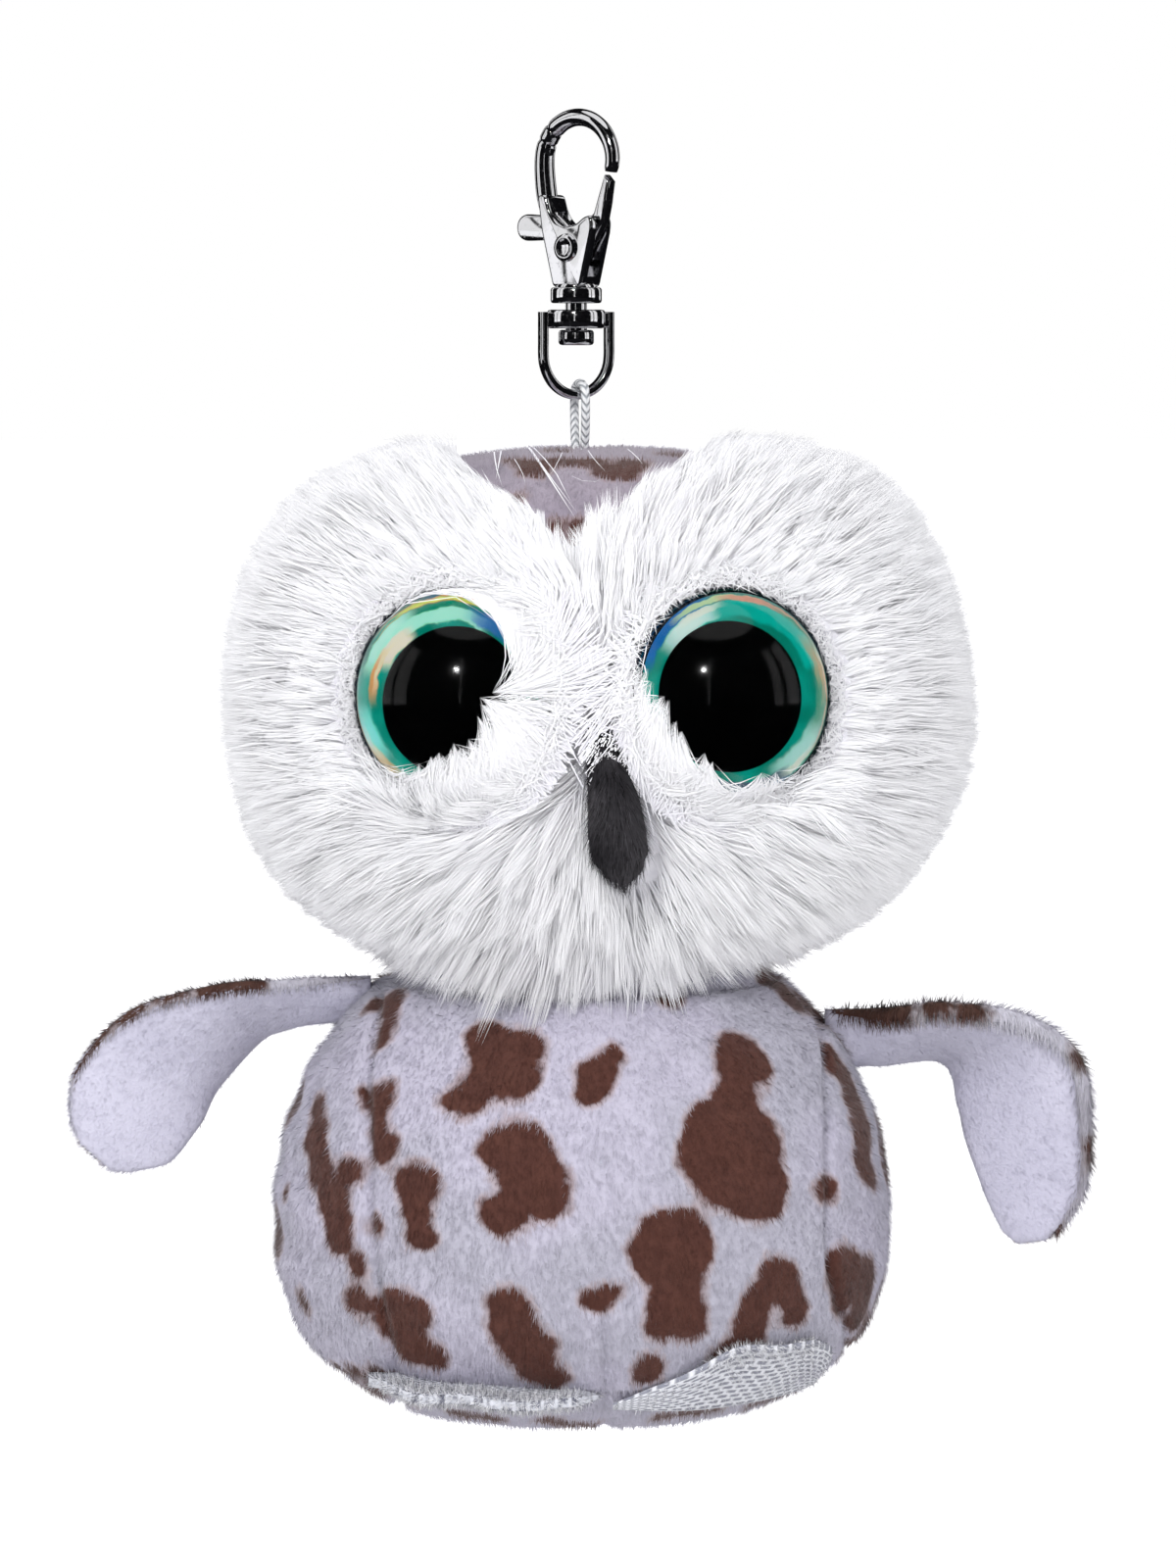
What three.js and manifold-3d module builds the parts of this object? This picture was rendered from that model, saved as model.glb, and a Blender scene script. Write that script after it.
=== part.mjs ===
// Plush owl hanging by a looped cord from a swivel key clasp.
// Millimetres, +Z up, the owl faces -Y. The origin is under the top bend of the hook,
// where a key ring or a bag's loop bears.

import * as THREE from 'three';
import { mergeVertices } from 'three/addons/utils/BufferGeometryUtils.js';
import Module from 'manifold-3d';

const wasm = await Module();
wasm.setup();

// Clearances shared by all pieces
const seamGap = 0.3;
const metalGap = 0.15;
const cutOverrun = 40;

// Clasp casting: hook arc, arm and housing, seen along its own thickness
const claspYawDeg = -40;
const hook = {
  arcHalfWidth: 4.5, arcOffset: 0.3, arcDrop: 3.4, tipAngleDeg: -17,
  rootRadius: 1.15, crownRadius: 0.9, tipRadius: 0.72, armReach: 3.25, armDrop: 9.2,
};
const housing = {
  thickness: 3.25, baseHalfWidth: 1.85, shoulderHalfWidth: 3.4, shoulderDrop: 10.4,
  baseDrop: 16.3, armReach: 3.9, armDrop: 6.9, valleyDrop: 10.2, lipDrop: 9, bevel: 0.25,
};
const slot = { width: 1.56, topDrop: 8.6, floorDrop: 15.2, gateSide: 1.2 };
const collar = { radius: 2.6, height: 1.6 };

// Trigger lever, measured from its pivot
const pivotDrop = 12.3;
const lever = {
  hubRadius: 1.9, gateReach: 4.8, gateRise: 7.35, tabReach: 7.5, tabTop: 3.45, tabBottom: 0.75,
  web: 0.35,
};
const rivet = { radius: 0.6, headRadius: 1.45, headHeight: 0.3, dishRadius: 0.85, dishDepth: 0.2 };
const spring = {
  coilRadius: 0.98, wireRadius: 0.1, turns: 1, pitch: 0.66, legLength: 1.4, hookLength: 0.4,
};

// Swivel post and eye
const post = { radius: 1.1, neck: 0.65, headRadius: 1.8, headHeight: 1.55 };
const eyeYawDeg = 15;
const eye = {
  barrelRadius: 2.95, barrelHeight: 1.9, halfWidth: 3.85, armWidth: 0.8, depth: 2,
  length: 9.1, barThickness: 0.95, bridgeDrop: 0.2, bevel: 0.2,
};

// Looped cord. The route is chosen by hand: across the swivel axis, depth, drop below the bar
const cord = {
  diameter: 0.9, drop: 5.05, side: 0.4, wellRadius: 1.45, tailLength: 8, knotRadius: 1.2, hingeSink: 0.3,
};
const cordRoute = [
  [0.38, -0.35, -4.75], [0.36, -0.55, -4.2], [0.28, -1.05, -2.9], [0.2, -1.45, -1.5],
  [0.15, -1.62, -0.1], [0.12, -1.45, 1], [0.06, -0.8, 1.5], [0, 0, 1.62],
  [-0.06, 0.8, 1.5], [-0.12, 1.45, 1], [-0.15, 1.62, -0.1], [-0.2, 1.45, -1.5],
  [-0.28, 1.05, -2.9], [-0.36, 0.55, -4.2], [-0.38, 0.35, -4.75],
];

// Stuffed head and body. Heights are above the base; powers square off the roundness
const toySide = 0.6;
const toyBack = 2.4;
const headSide = 1;
const head = {
  halfWidth: 34.4, halfDepth: 27, centre: 72.2, rise: 26.6, drop: 25.7,
  powerUp: 2.5, powerDown: 2.3, powerPlan: 2.6,
};
const pile = { side: 3.7, front: 3.7, top: 1.2, under: 0.8, powerUp: 3, powerDown: 2.5 };
const torso = {
  halfWidth: 31.5, halfDepth: 26.5, centre: 21, rise: 31.3, drop: 22,
  powerUp: 2, powerDown: 2.7, powerPlan: 2.2,
};
const headFabric = 1;
const torsoFabric = 1.2;
const baseSeamHeight = 4.5;
const frontSeam = { left: 22.4, right: 24.4 };
const beanHeight = 12;
const crownPanel = { apexSide: -2.2, apexHeight: 89, topHalfWidth: 12.6, topHeight: 97.8 };

// Plastic eyes: spread and height of the centres, then the stack on each eye's own axis
const owlEye = {
  spread: 13.1, height: 75.1, yawDeg: 22, pitchDeg: 6, radius: 10.3, domeHeight: 7,
  rimHeight: 0.8, cupThickness: 0.9, foilRadius: 9.4, discThickness: 0.3, pupilRadius: 6.8,
  pupilIn: 1.2, pupilDown: 0.9, shankRadius: 2, shankLength: 9, washerRadius: 6,
  washerThickness: 1.2, layerGap: 0.1,
};

// Felt beak: it leaves the face under the brow and leans to the viewer's right
const beak = {
  topHeight: 72, length: 15.2, lean: 3.4, proud: 4.6, halfWidth: 2.95, halfDepth: 2.4,
  leanShares: [0.1, 0.35, 0.62, 0.76, 1], proudShares: [0, 0.45, 0.85, 1, 0.9],
  fullnessShares: [0.15, 0.55, 0.8, 0.93, 1, 0.9, 0.2],
};

// Wings: two sewn layers on a rounded root that turns in the shoulder seam
const wing = { reach: 26, halfChord: 7.2, thickness: 3, tipThickness: 1.8, rootRadius: 3 };
const leftWing = {
  rootHeight: 38.9,
  shares: [
    [-0.115, 0, 0, -0.06, 0.13], [-0.08, 0, 0, -0.1, 0.3], [0, 0, 0, -0.15, 0.4],
    [0.09, 0.03, 0, -0.5, 0.34], [0.19, 0.01, 0.07, -0.68, 0.46], [0.37, -0.1, 0.11, -0.62, 0.76],
    [0.55, -0.22, 0.5, -0.35, 0.84], [0.71, -0.4, 0.66, -0.14, 0.7], [0.8, -0.52, 0.42, -0.07, 0.4],
    [0.82, -0.57, 0.22, -0.04, 0.2],
  ],
};
const rightWing = {
  rootHeight: 35.2,
  shares: [
    [-0.115, 0, 0, -0.06, 0.13], [-0.08, 0, 0, -0.1, 0.3], [0, 0, 0, -0.15, 0.4],
    [0.08, 0.05, 0, -0.5, 0.4], [0.22, 0.08, 0.04, -0.72, 0.44], [0.41, 0.02, 0.5, -0.64, 0.47],
    [0.52, -0.11, 0.83, -0.42, 0.39], [0.56, -0.31, 0.85, -0.28, 0.2], [0.59, -0.54, 0.7, -0.2, 0.1],
    [0.58, -0.7, 0.4, -0.1, 0.05], [0.58, -0.75, 0.2, -0.05, 0.03],
  ],
};

// Feet: flaps sewn along the front of the base seam. The right one is bent up against the body
const foot = { reach: 8, thickness: 1.7, footingShares: [0.12, 0.93] };
const leftFoot = { startDeg: -4, endDeg: 55, rise: 1.2, tiltDeg: 8 };
const rightFoot = { startDeg: 7, endDeg: 72, rise: 2.2, tiltDeg: 36 };

// Heights of the chain, from the hook's bearing point down
const collarDrop = housing.baseDrop + collar.height;
const barrelDrop = collarDrop + post.neck;
const eyeDrop = barrelDrop + eye.length;
const crownDrop = eyeDrop + cord.drop;
const baseDrop = crownDrop + head.centre + head.rise;

// Colours: chrome, plastics, felt and the four cloths
const finish = (color, roughness, metalness = 0) => (
  new THREE.MeshStandardMaterial({ color, roughness, metalness })
);
const chrome = () => finish(0xc9ccd2, 0.1, 1);
const furWhite = () => finish(0xf3f2f0, 0.95);
const spottedPlush = () => finish(0xc9c5d0, 0.95);
const liningPlush = () => finish(0xe2e2ee, 0.95);
const stuffing = () => finish(0xe9e7e2, 1);

// A closed solid from any three.js geometry, with its faces turned outwards
function solidOf(geometry) {
  const bare = geometry.index ? geometry.clone() : geometry;
  bare.deleteAttribute('normal');
  bare.deleteAttribute('uv');
  const merged = mergeVertices(bare, 1e-4);
  const points = merged.attributes.position.array;
  const faces = [];
  let sixfoldVolume = 0;
  const corner = (index) => new THREE.Vector3().fromArray(points, index * 3);
  for (let i = 0; i < merged.index.count; i += 3) {
    const [a, b, c] = [0, 1, 2].map((step) => merged.index.getX(i + step));
    if (a !== b && b !== c && c !== a) {
      faces.push([a, b, c]);
      sixfoldVolume += corner(a).dot(corner(b).cross(corner(c)));
    }
  }
  const turned = sixfoldVolume < 0 ? faces.map(([a, b, c]) => [a, c, b]) : faces;
  return new wasm.Manifold(new wasm.Mesh({
    numProp: 3,
    vertProperties: Float32Array.from(points),
    triVerts: Uint32Array.from(turned.flat()),
  }));
}

function geometryOf(solid) {
  const mesh = solid.getMesh();
  const geometry = new THREE.BufferGeometry();
  geometry.setAttribute('position', new THREE.BufferAttribute(mesh.vertProperties, 3));
  geometry.setIndex(new THREE.BufferAttribute(mesh.triVerts, 1));
  geometry.computeVertexNormals();
  return geometry;
}

const cut = (solid, ...tools) => tools.reduce((rest, tool) => rest.subtract(tool), solid);
const join = (solid, ...others) => others.reduce((whole, other) => whole.add(other), solid);

function piece(name, solid, material) {
  const mesh = new THREE.Mesh(geometryOf(solid), material);
  mesh.name = name;
  return mesh;
}

// A box from its lowest and highest corners
function block(low, high) {
  const size = high.map((value, axis) => value - low[axis]);
  const geometry = new THREE.BoxGeometry(...size);
  geometry.translate(...low.map((value, axis) => value + size[axis] / 2));
  return solidOf(geometry);
}

// An outline of [across, up] points, given a thickness that is centred on the XZ plane
function plate(outline, thickness, bevel = 0) {
  const shape = new THREE.Shape(outline.map(([across, up]) => new THREE.Vector2(across, up)));
  const geometry = new THREE.ExtrudeGeometry(shape, {
    depth: thickness - 2 * bevel, steps: 1, curveSegments: 8, bevelEnabled: bevel > 0,
    bevelThickness: bevel, bevelSize: bevel, bevelOffset: -bevel, bevelSegments: 1,
  });
  geometry.rotateX(Math.PI / 2);
  geometry.translate(0, thickness / 2 - bevel, 0);
  return solidOf(geometry);
}

// A turned solid from [radius, height] points. It stands on Z, or lies along Y
function turned(profile, sides, lying = false) {
  const geometry = new THREE.LatheGeometry(profile.map(([r, h]) => new THREE.Vector2(r, h)), sides);
  if (!lying) geometry.rotateX(Math.PI / 2);
  return solidOf(geometry);
}

const rod = (radius, low, high, sides, lying = false) => (
  turned([[0, low], [radius, low], [radius, high], [0, high]], sides, lying)
);

// A cylinder bent along a curve, with a half width and half depth that follow its length
function taperedRod(curve, sizeAt, sides, steps, across = new THREE.Vector3(0, 1, 0)) {
  const geometry = new THREE.CylinderGeometry(1, 1, 1, sides, steps);
  const place = geometry.attributes.position;
  for (let i = 0; i < place.count; i += 1) {
    const along = THREE.MathUtils.clamp(0.5 - place.getY(i), 0, 1);
    const [half, depth] = sizeAt(along);
    const normal = new THREE.Vector3().crossVectors(across, curve.getTangentAt(along)).normalize();
    const point = curve.getPointAt(along);
    point.addScaledVector(normal, place.getX(i) * half);
    point.addScaledVector(across, place.getZ(i) * depth);
    place.setXYZ(i, point.x, point.y, point.z);
  }
  return solidOf(geometry);
}

const mix = THREE.MathUtils.lerp;
const radians = THREE.MathUtils.degToRad;
const grow = (form, by) => ({
  ...form,
  halfWidth: form.halfWidth + by,
  halfDepth: form.halfDepth + by,
  rise: form.rise + by,
  drop: form.drop + by,
});

// A stuffed form: a sphere drawn out to a squared-off roundness of its own sizes
function stuffed(form, side, around, up) {
  const geometry = new THREE.SphereGeometry(1, around, up);
  geometry.rotateX(Math.PI / 2);
  const place = geometry.attributes.position;
  for (let i = 0; i < place.count; i += 1) {
    const [x, y, z] = [place.getX(i), place.getY(i), place.getZ(i)];
    const level = Math.hypot(x, y);
    const power = z > 0 ? form.powerUp : form.powerDown;
    const upward = (level ** power + Math.abs(z) ** power) ** (-1 / power);
    const flat = level > 1e-6
      ? ((Math.abs(x) ** form.powerPlan + Math.abs(y) ** form.powerPlan) ** (-1 / form.powerPlan))
      : 0;
    const reach = flat * level * upward;
    place.setXYZ(
      i,
      side + form.halfWidth * x * reach,
      form.halfDepth * y * reach,
      form.centre + (z > 0 ? form.rise : form.drop) * z * upward,
    );
  }
  return solidOf(geometry);
}

// How much of its full width a stuffed form still has at a height
function fullnessAt(form, height) {
  const above = height > form.centre;
  const power = above ? form.powerUp : form.powerDown;
  const share = Math.abs(height - form.centre) / (above ? form.rise : form.drop);
  return (1 - share ** power) ** (1 / power);
}

// How far the front of a stuffed form stands out at a place on it
function frontAt(form, across, height) {
  const fullness = fullnessAt(form, height);
  const share = Math.abs(across) / (form.halfWidth * fullness);
  return form.halfDepth * fullness * (1 - share ** form.powerPlan) ** (1 / form.powerPlan);
}

// Clasp
function hookWire() {
  const arc = [];
  for (let degrees = hook.tipAngleDeg; degrees <= 180; degrees += (180 - hook.tipAngleDeg) / 10) {
    arc.push(new THREE.Vector3(
      hook.arcOffset + hook.arcHalfWidth * Math.cos(radians(degrees)),
      0,
      -hook.arcDrop + (hook.arcDrop + hook.crownRadius) * Math.sin(radians(degrees)),
    ));
  }
  arc.push(new THREE.Vector3(-housing.armReach, 0, -housing.armDrop));
  arc.push(new THREE.Vector3(-hook.armReach, 0, -hook.armDrop));
  const curve = new THREE.CatmullRomCurve3(arc);
  const radiusAt = (along) => (along < 0.4
    ? mix(hook.tipRadius, hook.crownRadius, along / 0.4)
    : mix(hook.crownRadius, hook.rootRadius, (along - 0.4) / 0.6));
  return taperedRod(curve, (along) => [radiusAt(along), radiusAt(along)], 8, 20);
}

function claspHook() {
  const half = housing.shoulderHalfWidth;
  const outline = [
    [-housing.baseHalfWidth, -housing.baseDrop],
    [housing.baseHalfWidth, -housing.baseDrop],
    [half, -housing.shoulderDrop],
    [half, -mix(housing.lipDrop, housing.shoulderDrop, 0.4)],
    [half * 0.9, -housing.lipDrop],
    [half * 0.65, -mix(housing.lipDrop, housing.valleyDrop, 0.15)],
    [half * 0.35, -mix(housing.lipDrop, housing.valleyDrop, 0.75)],
    [-half * 0.1, -housing.valleyDrop],
    [-half * 0.42, -mix(housing.lipDrop, housing.valleyDrop, 0.6)],
    [-half * 0.66, -slot.topDrop],
    [-housing.armReach + hook.rootRadius, -housing.armDrop],
    [-housing.armReach, -housing.armDrop],
    [-half, -housing.shoulderDrop],
  ];
  const cheeks = plate(outline, housing.thickness, housing.bevel);
  const leverSlot = plate([
    [-cutOverrun, -slot.floorDrop], [cutOverrun, -slot.floorDrop], [cutOverrun, -housing.armDrop],
    [-slot.gateSide, -housing.armDrop], [-slot.gateSide * 1.5, -slot.topDrop],
    [-cutOverrun, -slot.topDrop],
  ], slot.width);
  const rivetHole = rod(rivet.radius + metalGap, -cutOverrun, cutOverrun, 12, true)
    .translate([0, 0, -pivotDrop]);
  const base = rod(collar.radius, -collarDrop, -housing.baseDrop + housing.bevel, 20);
  const postBore = rod(post.radius + metalGap, -cutOverrun, -housing.baseDrop, 14);
  return cut(join(hookWire(), cheeks, base), leverSlot, rivetHole, postBore);
}

function claspTrigger() {
  const thickness = slot.width - 2 * metalGap;
  const gateShares = [[0.35, -0.09], [0.84, 0.38], [1, 0.906], [0.858, 1], [0.568, 0.476], [0.1, 0.23]];
  const gate = plate(
    gateShares.map(([across, up]) => [across * lever.gateReach, up * lever.gateRise]),
    thickness,
    thickness * 0.15,
  );
  const round = (lever.tabTop - lever.tabBottom) / 2;
  const tabOutline = [
    [lever.hubRadius * 0.4, 0], [0, lever.hubRadius * 0.9], [-lever.hubRadius, lever.tabTop],
  ];
  for (let degrees = 90; degrees <= 270; degrees += 30) {
    tabOutline.push([
      -lever.tabReach + round + round * Math.cos(radians(degrees)),
      lever.tabBottom + round + round * Math.sin(radians(degrees)),
    ]);
  }
  tabOutline.push([-lever.hubRadius * 0.9, -lever.hubRadius * 0.4]);
  const tab = plate(tabOutline, thickness, thickness * 0.15);
  const hub = rod(lever.hubRadius, -thickness / 2, thickness / 2, 16, true);
  const hole = rod(rivet.radius + metalGap, -cutOverrun, cutOverrun, 12, true);
  const pocketRadius = spring.coilRadius + spring.wireRadius + metalGap;
  const pocket = rod(pocketRadius, -thickness / 2 + lever.web, cutOverrun, 14, true);
  const legRoom = block(
    [-pocketRadius, -thickness / 2 + lever.web, -cutOverrun],
    [pocketRadius, cutOverrun, 0],
  );
  return cut(join(hub, gate, tab), hole, pocket, legRoom).translate([0, 0, -pivotDrop]);
}

function triggerRivet() {
  const cheekFace = housing.thickness / 2 + metalGap / 2;
  const crown = cheekFace + rivet.headHeight;
  return turned([
    [0, -crown + rivet.dishDepth], [rivet.dishRadius, -crown + rivet.dishDepth],
    [rivet.dishRadius * 1.2, -crown], [rivet.headRadius * 0.85, -crown],
    [rivet.headRadius, -cheekFace], [rivet.radius, -cheekFace], [rivet.radius, cheekFace],
    [rivet.headRadius, cheekFace], [rivet.headRadius * 0.85, crown], [0, crown],
  ], 16, true).translate([0, 0, -pivotDrop]);
}

// Unbroken tube along a list of points
function wire(points, radius, sides, steps) {
  const ring = [];
  for (let i = 0; i < sides; i += 1) {
    const angle = (2 * Math.PI * i) / sides;
    ring.push(new THREE.Vector2(radius * Math.cos(angle), radius * Math.sin(angle)));
  }
  return solidOf(new THREE.ExtrudeGeometry(new THREE.Shape(ring), {
    steps, bevelEnabled: false, extrudePath: new THREE.CatmullRomCurve3(points),
  }));
}

// Least gap between stretches of one wire that lie at least a given length apart along it
function leastGap(curve, radius, apart) {
  const spaced = curve.getSpacedPoints(160);
  const skip = Math.ceil((apart * spaced.length) / curve.getLength());
  const distances = spaced.flatMap((from, i) => spaced.slice(i + skip).map((to) => from.distanceTo(to)));
  return Math.min(...distances) - 2 * radius;
}

function triggerSpring() {
  const stepsPerTurn = 8;
  const pocketFloor = -slot.width / 2 + metalGap + lever.web;
  const start = pocketFloor + spring.wireRadius + metalGap / 2;
  const points = [new THREE.Vector3(-spring.coilRadius, start, -spring.legLength)];
  for (let i = 0; i <= spring.turns * stepsPerTurn; i += 1) {
    const angle = Math.PI - (2 * Math.PI * i) / stepsPerTurn;
    points.push(new THREE.Vector3(
      spring.coilRadius * Math.cos(angle),
      start + (spring.pitch * i) / stepsPerTurn,
      spring.coilRadius * Math.sin(angle),
    ));
  }
  const last = points.at(-1);
  points.push(new THREE.Vector3(last.x, last.y, spring.hookLength));
  const halfTurn = Math.PI * spring.coilRadius;
  const gap = leastGap(new THREE.CatmullRomCurve3(points), spring.wireRadius, halfTurn);
  console.log(`spring clears itself by ${gap.toFixed(2)} mm`);
  return wire(points, spring.wireRadius, 5, points.length * 2).translate([0, 0, -pivotDrop]);
}

// Swivel
function swivelPost() {
  const boreTop = -housing.baseDrop - metalGap;
  const shoulder = -barrelDrop - eye.barrelHeight - metalGap;
  const round = post.headHeight * 0.2;
  return turned([
    [0, shoulder - post.headHeight], [post.headRadius - round, shoulder - post.headHeight],
    [post.headRadius, shoulder - post.headHeight + round], [post.headRadius, shoulder],
    [post.radius, shoulder], [post.radius, boreTop], [0, boreTop],
  ], 16);
}

function eyeOutline(halfWidth, top, bottom, steps) {
  const springing = mix(top, bottom, 0.5);
  const outline = [[halfWidth, top], [-halfWidth, top]];
  for (let i = 0; i <= steps; i += 1) {
    const angle = Math.PI + (Math.PI * i) / steps;
    outline.push([halfWidth * Math.cos(angle), springing + (springing - bottom) * Math.sin(angle)]);
  }
  return outline;
}

function swivelEye() {
  const barrelBottom = -barrelDrop - eye.barrelHeight;
  const outer = plate(
    eyeOutline(eye.halfWidth, -barrelDrop - eye.bridgeDrop, -eyeDrop, 12),
    eye.depth,
    eye.bevel,
  );
  const inner = plate(
    eyeOutline(eye.halfWidth - eye.armWidth, barrelBottom, -eyeDrop + eye.barThickness, 12),
    cutOverrun,
  );
  const barrel = rod(eye.barrelRadius, barrelBottom, -barrelDrop, 20);
  const bore = rod(post.radius + metalGap, -cutOverrun, 0, 14);
  return cut(join(cut(outer, inner), barrel), bore);
}

// The loop's front and rear strands close up where they enter the head
function hangCord() {
  const points = cordRoute.map(([across, depth, up]) => (
    new THREE.Vector3(cord.side + across, depth, -eyeDrop + up)
  ));
  return wire(points, cord.diameter / 2, 8, 28);
}

function cordKnot() {
  const strandTop = -crownDrop - cord.hingeSink;
  const [across, depth] = cordRoute[0];
  const strands = [-1, 1].map((sign) => rod(cord.diameter / 2, -cord.tailLength, 0, 8)
    .translate([cord.side + sign * across, sign * depth, strandTop]));
  const knot = solidOf(new THREE.SphereGeometry(cord.knotRadius, 10, 6))
    .translate([cord.side, 0, strandTop - cord.tailLength]);
  return join(knot, ...strands);
}

// Head, in the owl's own frame with the base at zero
const cordEntry = new THREE.Vector3(cord.side, 0, 0)
  .applyAxisAngle(new THREE.Vector3(0, 0, 1), THREE.MathUtils.degToRad(eyeYawDeg))
  .sub(new THREE.Vector3(toySide, toyBack, 0));

function headForms() {
  const pileForm = {
    ...head,
    halfWidth: head.halfWidth + pile.side,
    halfDepth: head.halfDepth + pile.front,
    rise: head.rise + pile.top,
    drop: head.drop + pile.under,
    powerUp: pile.powerUp,
    powerDown: pile.powerDown,
  };
  const frontHalf = block(
    [-cutOverrun * 2, -cutOverrun * 2, -cutOverrun], [cutOverrun * 2, 0, cutOverrun * 4],
  );
  const skin = stuffed(head, headSide, 28, 18);
  const fur = stuffed(pileForm, headSide, 28, 18);
  const lining = stuffed(grow(head, -headFabric), headSide, 24, 14);
  const filling = stuffed(grow(head, -headFabric - seamGap), headSide, 24, 14);
  const envelope = join(
    stuffed(grow(pileForm, seamGap), headSide, 24, 14).intersect(frontHalf),
    stuffed(grow(head, seamGap), headSide, 24, 14),
  );
  return { skin, fur, lining, filling, envelope, frontHalf };
}

function crownWedge(margin) {
  const rise = crownPanel.topHeight - crownPanel.apexHeight;
  const over = 2 * rise;
  const side = headSide + crownPanel.apexSide;
  const slope = crownPanel.topHalfWidth / rise;
  const reach = slope * (rise + over) + margin;
  return plate([
    [side, crownPanel.apexHeight - margin / slope],
    [side + reach, crownPanel.apexHeight + rise + over],
    [side - reach, crownPanel.apexHeight + rise + over],
  ], 2 * cutOverrun).translate([0, -cutOverrun - seamGap / 2, 0]);
}

// Every piece of one eye, on the eye's axis, which is then aimed and set on the face
function eyeStack(sign) {
  const rise = owlEye.domeHeight;
  const sphere = (owlEye.radius ** 2 + rise ** 2) / (2 * rise);
  const lensBase = owlEye.rimHeight + owlEye.cupThickness;
  const domeAngle = Math.asin(owlEye.radius / sphere);
  const dome = [
    [0, lensBase], [owlEye.radius - owlEye.layerGap, lensBase], [owlEye.radius, lensBase + owlEye.layerGap],
  ];
  for (let i = 1; i <= 6; i += 1) {
    const angle = domeAngle * (1 - i / 6);
    dome.push([sphere * Math.sin(angle), lensBase + rise - sphere * (1 - Math.cos(angle))]);
  }
  const stackRoom = 2 * owlEye.discThickness + 3 * owlEye.layerGap;
  const recess = rod(owlEye.foilRadius + owlEye.layerGap, 0, lensBase + stackRoom, 20);
  const foilLow = lensBase + owlEye.layerGap;
  const pupilLow = foilLow + owlEye.discThickness + owlEye.layerGap;
  const shankEnd = -owlEye.shankLength;
  const washerHigh = -headFabric - seamGap - owlEye.washerThickness * 2;
  const parts = {
    lens: cut(turned(dome, 24), recess),
    pupil: rod(owlEye.pupilRadius, pupilLow, pupilLow + owlEye.discThickness, 20)
      .translate([-sign * owlEye.pupilIn, -owlEye.pupilDown, 0]),
    foil: rod(owlEye.foilRadius, foilLow, foilLow + owlEye.discThickness, 20),
    cup: turned([
      [0, shankEnd], [owlEye.shankRadius, shankEnd], [owlEye.shankRadius, owlEye.rimHeight],
      [owlEye.radius, owlEye.rimHeight], [owlEye.radius, lensBase - owlEye.layerGap],
      [0, lensBase - owlEye.layerGap],
    ], 20),
    washer: cut(
      rod(owlEye.washerRadius, washerHigh - owlEye.washerThickness, washerHigh, 14),
      rod(owlEye.shankRadius + owlEye.layerGap * 1.5, -cutOverrun, cutOverrun, 14),
    ),
    socket: join(
      rod(owlEye.radius + seamGap, owlEye.rimHeight - seamGap, cutOverrun, 24),
      rod(owlEye.shankRadius + seamGap, -owlEye.shankLength - seamGap, cutOverrun, 14),
    ),
    pocket: rod(
      owlEye.washerRadius + seamGap,
      washerHigh - owlEye.washerThickness - seamGap,
      washerHigh + seamGap,
      14,
    ),
  };
  const aim = new THREE.Matrix4().makeRotationZ(radians(sign * owlEye.yawDeg))
    .multiply(new THREE.Matrix4().makeRotationX(radians(90 - owlEye.pitchDeg)));
  aim.setPosition(
    headSide + sign * owlEye.spread,
    -frontAt(head, owlEye.spread, owlEye.height),
    owlEye.height,
  );
  return Object.fromEntries(
    Object.entries(parts).map(([name, solid]) => [name, solid.transform(aim.elements)]),
  );
}

function beakSolid(extra) {
  const face = frontAt(head, headSide, beak.topHeight);
  const curve = new THREE.CatmullRomCurve3(beak.leanShares.map((lean, index) => (
    new THREE.Vector3(
      headSide + beak.lean * lean,
      -face - beak.proud * beak.proudShares[index],
      beak.topHeight - (beak.length * index) / (beak.leanShares.length - 1),
    )
  )));
  const sizeAt = (along) => {
    const step = along * (beak.fullnessShares.length - 1);
    const low = Math.min(Math.floor(step), beak.fullnessShares.length - 2);
    const share = mix(beak.fullnessShares[low], beak.fullnessShares[low + 1], step - low);
    return [beak.halfDepth * share + extra, beak.halfWidth * share + extra];
  };
  return taperedRod(curve, sizeAt, 10, 10, new THREE.Vector3(1, 0, 0));
}

// Torso
function torsoForms(envelope) {
  const seat = block([-cutOverrun, -cutOverrun, -cutOverrun], [cutOverrun, cutOverrun, 0]);
  const skin = cut(stuffed(torso, 0, 28, 18), envelope, seat);
  const lining = stuffed(grow(torso, -torsoFabric), 0, 24, 14);
  const filling = cut(stuffed(grow(torso, -torsoFabric - seamGap), 0, 24, 14), envelope);
  return { skin, lining, filling };
}

function torsoPanels({ skin, lining }) {
  const cloth = cut(skin, lining);
  const level = (low, high) => block([-cutOverrun, -cutOverrun, low], [cutOverrun, cutOverrun, high]);
  const walls = cloth.intersect(level(baseSeamHeight + seamGap / 2, 2 * cutOverrun));
  const front = (margin) => block(
    [-frontSeam.left - margin, -cutOverrun, -cutOverrun],
    [frontSeam.right + margin, margin, 2 * cutOverrun],
  );
  const sides = cut(
    walls,
    front(seamGap / 2),
    block([-seamGap / 2, 0, -cutOverrun], [seamGap / 2, cutOverrun, 2 * cutOverrun]),
  );
  const half = (sign) => block(
    sign < 0 ? [-cutOverrun, -cutOverrun, -cutOverrun] : [0, -cutOverrun, -cutOverrun],
    sign < 0 ? [0, cutOverrun, 2 * cutOverrun] : [cutOverrun, cutOverrun, 2 * cutOverrun],
  );
  return {
    front: walls.intersect(front(-seamGap / 2)),
    left: sides.intersect(half(-1)),
    right: sides.intersect(half(1)),
    base: cloth.intersect(level(-cutOverrun, baseSeamHeight - seamGap / 2)),
  };
}

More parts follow.
